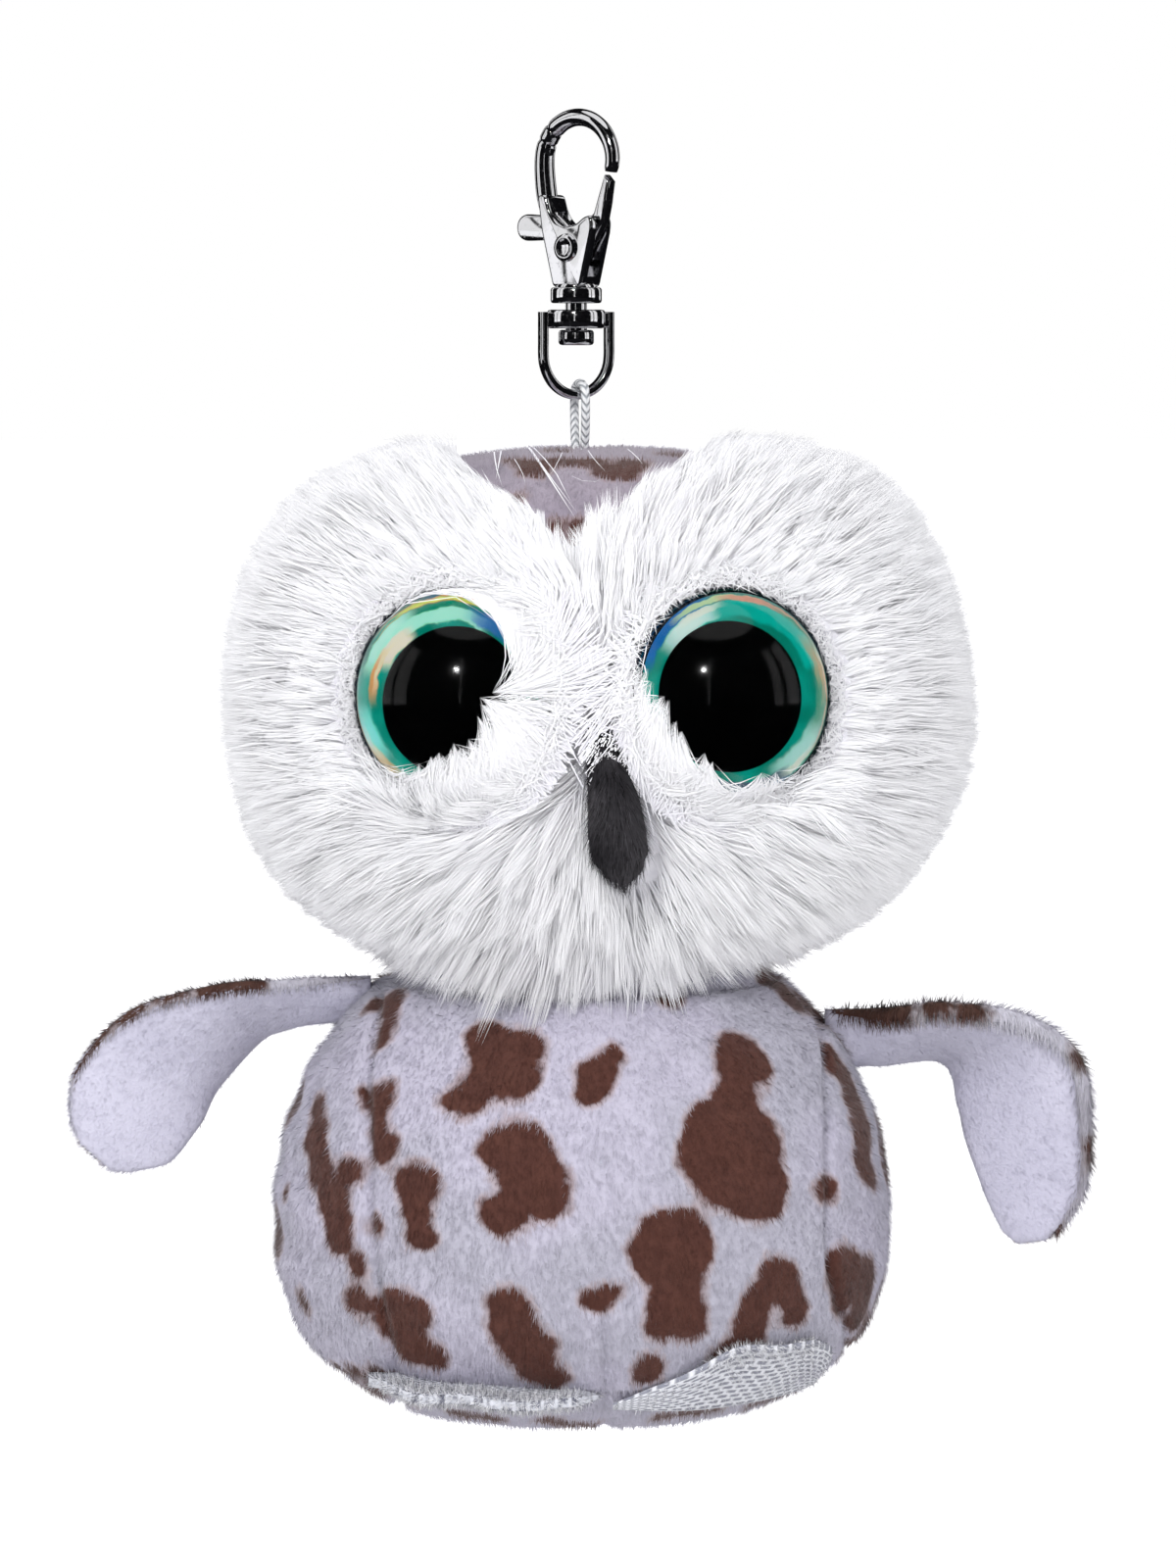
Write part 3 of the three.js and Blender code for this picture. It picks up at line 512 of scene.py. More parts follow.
@dataclass(frozen=True)
class Iris(Finish):
    """Printed iridescent foil: a teal ground with streaks of other colours, some of them painted highlights
    and reflections, and a painted glow: the foil emits its own colour though it is no lamp.
    """

    ground: tuple = srgb(0, 132, 112)
    arcs: tuple = ()
    glow: float = 0.62

    def paint(self, graph: Graph, shader: object) -> None:
        """The map is in millimetres from the foil's middle."""
        coords = graph.add("TexCoord").outputs["UV"]
        fine = graph.add("TexNoise", Vector=coords, Scale=0.55, Detail=3.0).outputs["Color"]
        drift = graph.add("VectorMath", {"operation": "SUBTRACT"})
        graph.feed(drift.inputs[0], fine)
        drift.inputs[1].default_value = (0.5, 0.5, 0.5)
        sized = graph.add("VectorMath", {"operation": "SCALE"})
        graph.feed(sized.inputs[0], drift.outputs[0])
        sized.inputs["Scale"].default_value = 1.1
        moved = graph.add("VectorMath", {"operation": "ADD"})
        graph.feed(moved.inputs[0], coords)
        graph.feed(moved.inputs[1], sized.outputs[0])
        place = graph.add("SeparateXYZ", Vector=moved.outputs[0]).outputs
        across, up = place["X"], place["Y"]
        radius = graph.math("SQRT", graph.math(
            "ADD", graph.math("MULTIPLY", across, across), graph.math("MULTIPLY", up, up)))
        shade = graph.step(graph.noise(coords, 0.3, 1.0), 0.35, 0.65)
        color = graph.mix(shade, self.ground, srgb(4, 160, 142))
        for arc in self.arcs:
            angle = math.radians(arc.aim)
            mask = self.use(
                graph, soft_arc(), Across=across, Up=up, Radius=radius, Middle=arc.middle, Half=arc.half,
                Aim_X=math.cos(angle), Aim_Y=math.sin(angle), Span=math.cos(math.radians(arc.span)),
            )["Mask"]
            color = graph.mix(graph.math("MULTIPLY", mask, arc.strength), color, arc.color)
        graph.feed(shader["Base Color"], color)
        # Painted glow: the foil's colour is also emitted, so it shines under the lens though it is no lamp.
        graph.feed(shader["Emission Color"], color)
        shader["Emission Strength"].default_value = self.glow
        shader["Roughness"].default_value = 0.3
        shader["Specular IOR Level"].default_value = 0.2


CHROME = Metal("bright_chrome", Slot.CHROME)
SPRING = Metal("spring_steel", Slot.SPRING, color=(0.55, 0.56, 0.58, 1), roughness=0.25)
CORD = Braid("braided_cord", Slot.CORD)
SPOTTED = Pile("spotted_short_pile", Slot.PLUSH)
CROWN = Pile("crown_short_pile", Slot.PLUSH, ground=srgb(170, 160, 172), second=srgb(154, 145, 158))
LINING = Pile(
    "lining_short_pile", Slot.LINING, ground=srgb(205, 203, 219), second=srgb(194, 192, 209), contrast=0.1,
)
FUR = Fur("white_long_pile", Slot.FUR)
UNDERCOAT = Plain("fur_ground", Slot.FUR, color=srgb(242, 241, 246), second=srgb(230, 229, 236), gloss=0.1)
RIM = Pile(
    "rim_long_pile", Slot.PLUSH, ground=srgb(206, 204, 214), second=srgb(176, 172, 182),
    print_color=srgb(92, 68, 58), fringe=srgb(150, 134, 130),
)
KNIT = Knit("knitted_mesh", Slot.KNIT)
# The left flap's copy: darker thread, and darker painted shade in its openings.
KNIT_FOLD = Knit(
    "knitted_mesh_fold", Slot.KNIT, thread=srgb(214, 216, 224), shaded_hole=srgb(62, 64, 88), rows=0.62,
    stitch=1.1,
)
FUZZ = Fur("knit_fuzz", Slot.KNIT)
FELT = Pile(
    "beak_felt", Slot.FELT, ground=srgb(70, 68, 71), second=srgb(34, 33, 36), grain=1800.0, contrast=0.9,
    sheen=0.03,
)
LENS = Glass("clear_acrylic", Slot.LENS)
PUPIL = Plain(
    "pupil_black", Slot.PUPIL, color=srgb(5, 5, 7), second=srgb(8, 8, 10), roughness=0.4, depth=0.02,
    gloss=0.0,
)
CUP = Plain("cup_navy", Slot.CUP, color=srgb(22, 26, 38), second=srgb(34, 38, 52), roughness=0.25, depth=0.02)
WASHER = Plain(
    "washer_nylon", Slot.WASHER, color=srgb(216, 216, 212), second=srgb(200, 200, 196), roughness=0.5,
)
STUFFING = Plain(
    "polyester_stuffing", Slot.STUFFING, color=srgb(236, 234, 230), second=srgb(212, 210, 206), depth=0.8,
)
BEANS = Plain(
    "bean_pellets", Slot.BEANS, color=srgb(218, 212, 200), second=srgb(180, 174, 162), grain=500.0,
    depth=0.8,
)


@dataclass
class Piece:
    """A mesh in the making, with what its finished object needs."""

    name: str
    body: str
    finish: Finish
    bm: bmesh.types.BMesh = field(default_factory=bmesh.new)

    def make(
        self, replaces: tuple[str, ...] = (), place: Matrix = IDENTITY, crease: float | None = None,
        recalc: bool = True, ride: bool = True,
    ) -> bpy.types.Object:
        """Turns the mesh into a finished object in the row frame, in metres.

        Args:
            replaces: the CAD nodes that it stands for.
            place: where its own frame stands in the row frame, in millimetres.
            crease: the angle in degrees above which an edge stays sharp.
            recalc: whether the faces are turned outwards afresh.
            ride: whether it rides on its body.

        Returns:
            The object, at the origin.
        """
        bm = self.bm
        bmesh.ops.remove_doubles(bm, verts=bm.verts, dist=1e-4)
        if recalc:
            bmesh.ops.recalc_face_normals(bm, faces=bm.faces)
        bmesh.ops.transform(bm, matrix=Matrix.Scale(MM, 4) @ place, verts=bm.verts)
        mesh = bpy.data.meshes.new(self.name)
        bm.to_mesh(mesh)
        bm.free()
        mesh.shade_smooth()
        if crease is not None:
            mesh.set_sharp_from_angle(angle=math.radians(crease))
        return dress(mesh, self.name, self.body, self.finish, replaces, ride)


def dress(
    mesh: bpy.types.Mesh, name: str, body: str, finish: Finish,
    replaces: tuple[str, ...] = (), ride: bool = True,
) -> bpy.types.Object:
    """Links a finished mesh as a piece, with its material and its body.

    Args:
        mesh: the mesh, in metres in the row frame.
        name: the piece's name.
        body: the CAD body that it rides on.
        finish: its finish.
        replaces: the CAD nodes that it stands for.
        ride: whether it rides on the body.

    Returns:
        The object.
    """
    piece = bpy.data.objects.new(name, mesh)
    bpy.context.scene.collection.objects.link(piece)
    mesh.materials.append(finish.material())
    if ride:
        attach(piece, body)
    if replaces:
        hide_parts(*replaces)
    mesh.calc_loop_triangles()
    log.info("%s: %d triangles on %s", name, len(mesh.loop_triangles), body)
    return piece


class Route:
    """A smooth line through points, as the frame's own lines are drawn."""

    def __init__(self, points: list) -> None:
        """Keeps the points that it passes through."""
        self.points = np.array(points, float)

    def at(self, share: float) -> np.ndarray:
        """The point at a share of the way, with equal shares between the given points.

        Args:
            share: 0 at the first point, 1 at the last.

        Returns:
            The point.
        """
        points, last = self.points, len(self.points) - 1
        reach = share * last
        low = int(min(max(math.floor(reach), 0), last - 1))
        weight = reach - low
        p1, p2 = points[low], points[low + 1]
        p0 = points[low - 1] if low > 0 else 2 * p1 - p2
        p3 = points[low + 2] if low + 2 <= last else 2 * p2 - p1
        spans = ((p0, p1), (p1, p2), (p2, p3))
        gap0, gap1, gap2 = (max(float(((b - a) ** 2).sum()), 1e-12) ** 0.25 for a, b in spans)
        gap1 = gap1 if gap1 > 1e-4 else 1.0
        gap0 = gap0 if gap0 > 1e-4 else gap1
        gap2 = gap2 if gap2 > 1e-4 else gap1
        t1 = ((p1 - p0) / gap0 - (p2 - p0) / (gap0 + gap1) + (p2 - p1) / gap1) * gap1
        t2 = ((p2 - p1) / gap1 - (p3 - p1) / (gap1 + gap2) + (p3 - p2) / gap2) * gap1
        c2, c3 = -3 * p1 + 3 * p2 - 2 * t1 - t2, 2 * p1 - 2 * p2 + t1 + t2
        return p1 + t1 * weight + c2 * weight**2 + c3 * weight**3

    def tangent(self, share: float) -> np.ndarray:
        """The direction of travel at a share of the way."""
        step = 1e-4
        return unit(self.at(min(share + step, 1)) - self.at(max(share - step, 0)))

    def even(self, count: int) -> np.ndarray:
        """That many points, evenly spaced along the line.

        Args:
            count: how many points.

        Returns:
            The points, from the first to the last.
        """
        fine = np.array([self.at(i / 600) for i in range(601)])
        run = np.concatenate(([0], np.cumsum(np.linalg.norm(np.diff(fine, axis=0), axis=1))))
        wanted = np.linspace(0, run[-1], count)
        return np.stack([np.interp(wanted, run, fine[:, axis]) for axis in range(3)], axis=1)


def sweep(
    bm: bmesh.types.BMesh, points: np.ndarray, sizes: list, sides: int, across: Vector,
    square: float = 2.0, closed: bool = False, mapped: bool = False,
) -> None:
    """Draws a rounded section along a line: a ring at each point, bridged to the next.

    Args:
        bm: the mesh to add to.
        points: the line's points.
        sizes: a half width and a half depth for each point, the depth along across.
        sides: how many sides the section has.
        across: a direction roughly square to the line, kept all the way.
        square: 2 for a round section, more for a squarer one.
        closed: whether the line joins its own start.
        mapped: whether to lay a map along and round it.
    """
    count = len(points)
    rings = []
    run = 0.0
    runs = []
    for index in range(count):
        after = points[(index + 1) % count] if closed or index < count - 1 else points[index]
        before = points[index - 1] if closed or index > 0 else points[index]
        travel = Vector(after - before).normalized()
        side = (across - travel * across.dot(travel)).normalized()
        out = side.cross(travel)
        wide, deep = sizes[index]
        ring = bmesh.ops.create_circle(bm, segments=sides, radius=1.0)["verts"]
        for vert in ring:
            a, b = vert.co.x, vert.co.y
            grow = (abs(a) ** square + abs(b) ** square) ** (-1 / square)
            vert.co = Vector(points[index]) + out * (a * grow * wide) + side * (b * grow * deep)
        rings.append(ring)
        runs.append(run)
        run += float(np.linalg.norm(after - points[index]))
    edges = [list({edge for vert in ring for edge in vert.link_edges}) for ring in rings]
    pairs = [(i, i + 1) for i in range(count - 1)] + ([(count - 1, 0)] if closed else [])
    for low, high in pairs:
        bmesh.ops.bridge_loops(bm, edges=edges[low] + edges[high])
    if not closed:
        for ring in (rings[0], rings[-1]):
            bmesh.ops.contextual_create(bm, geom=ring)
    if mapped:
        layer = bm.loops.layers.uv.verify()
        where = {vert: (runs[i], k / sides) for i, ring in enumerate(rings) for k, vert in enumerate(ring)}
        for face in bm.faces:
            spots = [where.get(loop.vert) for loop in face.loops]
            if None in spots:
                continue
            wraps = max(s[1] for s in spots) - min(s[1] for s in spots) > 0.5
            for loop, (x, y) in zip(face.loops, spots):
                loop[layer].uv = (x, y + 1 if wraps and y < 0.5 else y)


def lathe(bm: bmesh.types.BMesh, profile: list[tuple[float, float]], axis: Vector, steps: int = 40) -> None:
    """Spins a profile of radius and height once round an axis through the origin.

    Args:
        bm: the mesh to add to.
        profile: radius and height of each point.
        axis: the axis that the heights run along.
        steps: how many steps the turn has.
    """
    frame_turn = axis.to_track_quat("Z", "X").to_matrix()
    verts = [bm.verts.new(frame_turn @ Vector((radius, 0, height))) for radius, height in profile]
    edges = [bm.edges.new(pair) for pair in zip(verts, verts[1:])]
    bmesh.ops.spin(
        bm, geom=verts + edges, cent=(0, 0, 0), axis=axis, angle=math.tau, steps=steps, use_merge=True,
    )
    bmesh.ops.remove_doubles(bm, verts=bm.verts, dist=1e-4)


def plate(
    bm: bmesh.types.BMesh, outline: list[tuple[float, float]],
    low: float, high: float, bevel: float, segments: int = 3,
) -> None:
    """Extrudes an outline in x and z to a plate from y = low to y = high, with rounded rims.

    Args:
        bm: the mesh to add to.
        outline: the corners.
        low: the first face's y.
        high: the second face's y.
        bevel: the rounding of the rims.
        segments: the rounding's steps.
    """
    corners = [bm.verts.new((x, low, z)) for x, z in outline]
    face = bm.faces.new(corners)
    grown = bmesh.ops.extrude_face_region(bm, geom=[face])["geom"]
    lifted = [part for part in grown if isinstance(part, bmesh.types.BMVert)]
    bmesh.ops.translate(bm, verts=lifted, vec=(0, high - low, 0))
    if bevel > 0:
        rims = [
            edge for edge in {e for v in corners + lifted for e in v.link_edges}
            if abs(edge.verts[0].co.y - edge.verts[1].co.y) < 1e-6
        ]
        bmesh.ops.bevel(
            bm, geom=rims, offset=bevel, segments=segments, profile=0.5, affect="EDGES", material=-1,
            clamp_overlap=True,
        )


def rounded(points: list[tuple[float, float]], radius: float, steps: int = 4) -> list[tuple[float, float]]:
    """An outline with each of its corners rounded.

    Args:
        points: the corners.
        radius: how far from a corner the rounding starts, at most.
        steps: the points in each rounding, less one.

    Returns:
        The rounded outline.
    """
    made = []
    for index, corner in enumerate(points):
        middle = Vector((*corner, 0))
        before, after = Vector((*points[index - 1], 0)), Vector((*points[(index + 1) % len(points)], 0))
        reach = min(radius, (before - middle).length * 0.45, (after - middle).length * 0.45)
        start = middle + (before - middle).normalized() * reach
        end = middle + (after - middle).normalized() * reach
        for step in range(steps + 1):
            share = step / steps
            point = start * (1 - share) ** 2 + middle * 2 * share * (1 - share) + end * share**2
            made.append((point.x, point.y))
    return made


def carve(solid: bmesh.types.BMesh, tool: bmesh.types.BMesh) -> None:
    """Takes one mesh out of another, in place.

    Args:
        solid: the mesh that is cut.
        tool: the mesh that cuts it, freed here.
    """
    objects = []
    for name, bm in (("carve_solid", solid), ("carve_tool", tool)):
        bmesh.ops.recalc_face_normals(bm, faces=bm.faces)
        mesh = bpy.data.meshes.new(name)
        bm.to_mesh(mesh)
        holder = bpy.data.objects.new(name, mesh)
        bpy.context.scene.collection.objects.link(holder)
        objects.append(holder)
    modifier = objects[0].modifiers.new("cut", "BOOLEAN")
    modifier.operation, modifier.object, modifier.solver = "DIFFERENCE", objects[1], "EXACT"
    modifier.use_self = True
    bpy.context.view_layer.update()
    result = bpy.data.meshes.new_from_object(objects[0].evaluated_get(bpy.context.evaluated_depsgraph_get()))
    solid.clear()
    solid.from_mesh(result)
    tool.free()
    for holder in objects:
        mesh = holder.data
        bpy.data.objects.remove(holder)
        bpy.data.meshes.remove(mesh)
    bpy.data.meshes.remove(result)


@dataclass
class Studio:
    """Camera, lamps, backdrop light and the pale floor."""

    distance: float = 0.7
    elevation: float = 4.0
    aim: tuple[float, float, float] = (0.0012, 0.0, -0.06684)
    floor_height: float = -0.19

    def build(self) -> None:
        """Sets the whole stage."""
        self.camera()
        self.world()
        self.floor()
        self.cards()
        self.lamp("key_box", (-0.42, -0.62, 0.26), 0.75, 2.05)
        self.lamp("fill_box", (0.5, -0.5, 0.06), 0.7, 1.75)
        self.lamp("top_box", (0.0, 0.05, 0.55), 0.5, 0.45)
        self.lamp("eye_dot", (-0.18, -0.77, 0.39), 0.04, 3.0, dot=True)
        scene = bpy.context.scene
        scene.view_settings.view_transform = "Standard"

    def seen_at(self, points: np.ndarray) -> np.ndarray:
        """Where points stand in the picture, in millimetres across and up from its middle.

        Args:
            points: the points, in millimetres in the row frame.

        Returns:
            Two numbers for each point, at the aim's own distance.
        """
        lift = math.radians(self.elevation)
        away = points - np.array(self.aim) / MM
        depth = 1 + away @ np.array((0, math.cos(lift), -math.sin(lift))) / (self.distance / MM)
        rise = away @ np.array((0, math.sin(lift), math.cos(lift)))
        return np.stack([away[..., 0] / depth, rise / depth], axis=-1)

    def camera(self) -> None:
        """A long lens in front, looking slightly down."""
        data = bpy.data.cameras.new("studio_camera")
        data.lens, data.sensor_width = 157.5, 36.0
        data.clip_start, data.clip_end = 0.05, 20.0
        camera = bpy.data.objects.new("studio_camera", data)
        lift = math.radians(self.elevation)
        away = Vector((0, -math.cos(lift), math.sin(lift))) * self.distance
        camera.location = Vector(self.aim) + away
        camera.rotation_euler = (math.radians(90) - lift, 0, 0)
        bpy.context.scene.collection.objects.link(camera)
        bpy.context.scene.camera = camera

    @staticmethod
    def seen(graph: Graph) -> bpy.types.NodeSocket:
        """1 for a ray from the camera, off gloss or through glass, else 0."""
        path = graph.add("LightPath").outputs
        return graph.math("MAXIMUM", path["Is Camera Ray"], graph.math(
            "MAXIMUM", path["Is Glossy Ray"], path["Is Transmission Ray"]))

    def world(self) -> None:
        """White where it is seen, and a soft grey light elsewhere, less from below."""
        world = bpy.data.worlds.new("studio_light")
        bpy.context.scene.world = world
        world.use_nodes = True
        graph = Graph(world.node_tree)
        back = world.node_tree.nodes["Background"]
        height = graph.add("SeparateXYZ", Vector=graph.add("TexCoord").outputs["Generated"]).outputs["Z"]
        light = graph.mix(graph.step(height, -0.7, 0.7), srgb(203, 203, 206), srgb(193, 193, 197))
        graph.feed(back.inputs["Color"], graph.mix(self.seen(graph), light, (1, 1, 1, 1)))

    def floor(self) -> None:
        """A pale sheet below the hanging owl, which keeps its shadow."""
        bm = bmesh.new()
        bmesh.ops.create_grid(bm, x_segments=1, y_segments=1, size=8.0)
        bmesh.ops.translate(bm, verts=bm.verts, vec=(0, 0, self.floor_height))
        mesh = bpy.data.meshes.new("floor")
        bm.to_mesh(mesh)
        bm.free()
        material = bpy.data.materials.new("floor_paper")
        material.use_nodes = True
        graph = Graph(material.node_tree)
        shader = material.node_tree.nodes["Principled BSDF"].inputs
        shader["Base Color"].default_value = (0.86, 0.86, 0.86, 1)
        shader["Roughness"].default_value = 0.9
        shader["Specular IOR Level"].default_value = 0.0
        glow = graph.mix(self.seen(graph), (0, 0, 0, 1), (0.76, 0.76, 0.76, 1))
        graph.feed(shader["Emission Color"], glow)
        shader["Emission Strength"].default_value = 1.0
        mesh.materials.append(material)
        sheet = bpy.data.objects.new("floor", mesh)
        bpy.context.scene.collection.objects.link(sheet)

    def cards(self) -> None:
        """Dark cards that only polished and clear pieces see, all round."""
        material = bpy.data.materials.new("black_card")
        material.use_nodes = True
        shader = material.node_tree.nodes["Principled BSDF"].inputs
        shader["Base Color"].default_value = (0.006, 0.006, 0.007, 1)
        shader["Roughness"].default_value = 1.0
        shader["Specular IOR Level"].default_value = 0.0
        for name, first, last in (
            ("card_front", -65, -9), ("card_middle", -6, 61), ("card_left", -135, -99),
            ("card_right", 93, 128), ("card_line_left", -84, -81), ("card_line_right", 72, 77),
            ("card_back", 140, 214), ("card_low", 0, 360), ("card_high", 0, 360),
        ):
            bm = bmesh.new()
            start, end = Vector((0, -1.3, -1.4)), Vector((0, -1.3, 1.1))
            if name == "card_low":
                start, end = Vector((0, -0.06, -0.186)), Vector((0, -1.29, -0.186))
            if name == "card_high":
                start, end = Vector((0, -0.62, 1.1)), Vector((0, -1.29, 1.1))
            verts = [bm.verts.new(start), bm.verts.new(end)]
            edge = bm.edges.new(verts)
            turn = Matrix.Rotation(math.radians(first), 3, "Z")
            bmesh.ops.rotate(bm, verts=verts, cent=(0, 0, 0), matrix=turn)
            bmesh.ops.spin(
                bm, geom=verts + [edge], cent=(0, 0, 0), axis=(0, 0, 1),
                angle=math.radians(last - first), steps=max(2, (last - first) // 6),
            )
            mesh = bpy.data.meshes.new(name)
            bm.to_mesh(mesh)
            bm.free()
            mesh.materials.append(material)
            card = bpy.data.objects.new(name, mesh)
            bpy.context.scene.collection.objects.link(card)
            card.visible_camera = card.visible_diffuse = card.visible_shadow = False

    def lamp(
        self, name: str, place: tuple[float, float, float], size: float, power: float, dot: bool = False,
    ) -> None:
        """One square soft box that points at the owl.

        Args:
            name: the lamp's name.
            place: where it stands, in metres.
            size: its side.
            power: its power in watts.
            dot: whether polished pieces mirror it.
        """
        data = bpy.data.lights.new(name, "AREA")
        data.size, data.energy = size, power
        lamp = bpy.data.objects.new(name, data)
        lamp.visible_glossy = lamp.visible_transmission = dot
        if dot:
            data.diffuse_factor = 0.0
        lamp.location = place
        lamp.rotation_euler = (Vector(self.aim) - Vector(place)).to_track_quat("-Z", "Y").to_euler()
        bpy.context.scene.collection.objects.link(lamp)


@dataclass
class HangCord:
    """The braided cord: up from its knot in the head, over the eye's bar and back."""

    radius: float = 0.45
    side: float = 0.4
    bar_drop: float = 27.65
    crown_drop: float = 32.7
    sink: float = 0.3
    tail: float = 8.0
    knot_radius: float = 1.2
    route: tuple = (
        (0.38, -0.35, -4.75), (0.36, -0.55, -4.2), (0.28, -1.05, -2.9), (0.2, -1.45, -1.5),
        (0.15, -1.62, -0.1), (0.12, -1.45, 1.0), (0.06, -0.8, 1.5), (0.0, 0.0, 1.62),
        (-0.06, 0.8, 1.5), (-0.12, 1.45, 1.0), (-0.15, 1.62, -0.1), (-0.2, 1.45, -1.5),
        (-0.28, 1.05, -2.9), (-0.36, 0.55, -4.2), (-0.38, 0.35, -4.75),
    )

    def build(self) -> None:
        low = self.crown_drop + self.sink + self.tail
        points = [(self.side + 0.38, -0.35, -low + step * self.tail / 4) for step in range(4)]
        points += [(self.side + x, y, -self.bar_drop + z) for x, y, z in self.route]
        points += [(self.side - 0.38, 0.35, -low + self.tail - step * self.tail / 4) for step in range(1, 5)]
        path = Route(points).even(150)
        piece = Piece("braided_loop", "cord", CORD)
        sizes = [(self.radius, self.radius)] * len(path)
        sweep(piece.bm, path, sizes, 16, Vector((1, 0, 0)), mapped=True)
        loop = piece.make(("hang_cord",), RING_PLACE, ride=False)
        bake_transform(loop)
        knot = Piece("cord_tail_knot", "toy", CORD)
        wound = self.knot_radius * 0.75
        turns = [
            (self.side + wound * math.cos(a), wound * math.sin(a), -low - 0.4 + 0.14 * a)
            for a in np.linspace(0, 4 * math.pi, 26)
        ]
        ball = Route(turns).even(90)
        sweep(knot.bm, ball, [(0.42, 0.42)] * 90, 12, Vector((0, 0, 1)), mapped=True)
        tied = knot.make(("cord_knot",), RING_PLACE)


@dataclass
class Clasp:
    """The plated clasp: hook and cheeks in one casting, lever, rivet, post and eye."""

    thickness: float = 3.25
    pivot_drop: float = 12.3
    lever_thickness: float = 1.26

    def build(self) -> None:
        """Builds its five dressed pieces."""
        self.casting()
        self.trigger()
        self.rivet()
        self.post()
        self.eye()

    def casting(self) -> None:
        """The hook's round arm on the plate with the slot for the lever."""
        piece = Piece("hook_casting", "clasp", CHROME)
        bm = piece.bm
        outline = [
            (-1.85, -16.3), (1.85, -16.3), (3.4, -10.4), (3.4, -9.56), (3.06, -9.0), (2.21, -9.18),
            (1.19, -9.9), (-0.34, -10.2), (-1.43, -9.72), (-2.24, -8.6), (-2.75, -6.9), (-3.9, -6.9),
            (-3.4, -10.4),
        ]
        half = self.thickness / 2
        plate(bm, rounded(outline, 0.5, 3), -half, half, 0.5, 4)
        slot = bmesh.new()
        opening = [(-9, -15.2), (9, -15.2), (9, -6.2), (-1.2, -6.2), (-1.8, -8.6), (-9, -8.6)]
        plate(slot, opening, -0.78, 0.78, 0)
        carve(bm, slot)
        points, sizes = self.hook_line()
        sweep(bm, points, sizes, 24, Vector((0, 1, 0)))
        for low, high, radius in ((-17.9, -16.3, 2.6), (-16.5, -15.9, 2.05)):
            lathe(bm, [(0, low), (radius - 0.25, low), (radius - 0.08, low + 0.07), (radius, low + 0.25),
                       (radius, high - 0.25), (radius - 0.08, high - 0.07), (radius - 0.25, high), (0, high)],
                  Vector((0, 0, 1)), 48)
        piece.make(("clasp_hook",), CLASP_PLACE, crease=38)

    def hook_line(self) -> tuple[np.ndarray, list]:
        """The arm's line from the tip over the top to the cheeks, with two band grooves.

        Returns:
            The points, and the half sizes at each.
        """
        turns = [math.radians(-17 + 197 * step / 10) for step in range(11)]
        line = [(0.3 + 4.5 * math.cos(a), 0, -3.4 + 4.3 * math.sin(a)) for a in turns]
        line += [(-3.9, 0, -6.9), (-3.3, 0, -9.0), (-3.05, 0, -10.2)]
        points = Route(line).even(110)
        sizes = []
        for index in range(len(points)):
            share = index / (len(points) - 1)
            radius = 0.72 + 0.18 * share / 0.4 if share < 0.4 else 0.9 + 0.25 * (share - 0.4) / 0.6
            for groove in (0.53, 0.6):
                radius -= 0.14 * math.exp(-(((share - groove) / 0.0075) ** 2))
            if share < 0.03:
                radius *= 0.86 + 0.14 * math.sin(share / 0.03 * math.pi / 2)
            flat = 1.0 - 0.2 * float(smooth(np.array(share), 0.8, 1.0))
            sizes.append((radius * flat, radius))
        return points, sizes

    def trigger(self) -> None:
        """The lever: a thumb tab on one side and the gate on the other."""
        piece = Piece("gate_lever", "trigger", CHROME)
        reach, rise = 4.8, 7.35
        gate = [(x * reach, z * rise) for x, z in (
            (0.35, -0.09), (0.84, 0.38), (0.93, 0.62), (1.0, 0.906), (0.858, 1.0), (0.72, 0.75),
            (0.568, 0.476), (0.1, 0.23),
        )]
        tab = [(0.76, 0), (0, 1.7), (-1.9, 3.3), (-5.4, 3.4)]
        tab += [(-6.15 + 1.35 * math.cos(math.radians(a)), 2.1 + 1.35 * math.sin(math.radians(a)))
                for a in range(90, 271, 15)]
        tab += [(-1.6, 0.85), (-1.5, -1.1), (0, -1.9)]
        half = self.lever_thickness / 2
        for outline in (gate, tab):
            plate(piece.bm, outline, -half, half, 0.28, 3)
        lathe_bm = bmesh.new()
        boss = [(0, -half), (1.8, -half), (1.9, -half + 0.1), (1.9, half - 0.1), (1.8, half), (0, half)]
        lathe(lathe_bm, boss, Vector((0, 1, 0)), 40)
        hub = bpy.data.meshes.new("hub")
        lathe_bm.to_mesh(hub)
        lathe_bm.free()
        piece.bm.from_mesh(hub)
        bpy.data.meshes.remove(hub)
        bmesh.ops.translate(piece.bm, verts=piece.bm.verts, vec=(0, 0, -self.pivot_drop))
        piece.make(("clasp_trigger",), CLASP_PLACE, crease=38)

    def rivet(self) -> None:
        """The rivet that the lever turns on, each head dished."""
        piece = Piece("dished_rivet", "clasp", CHROME)
        face, crown = 1.66, 2.0
        head = [(0, crown - 0.24), (0.5, crown - 0.22), (0.78, crown - 0.14), (0.92, crown - 0.01),
                (1.02, crown + 0.03), (1.16, crown), (1.36, crown - 0.1), (1.45, face)]
        profile = [(r, -h) for r, h in head] + [(0.6, -face), (0.6, face)] + head[::-1]
        lathe(piece.bm, profile, Vector((0, 1, 0)), 48)
        bmesh.ops.translate(piece.bm, verts=piece.bm.verts, vec=(0, 0, -self.pivot_drop))
        piece.make(("trigger_rivet",), CLASP_PLACE, crease=40)

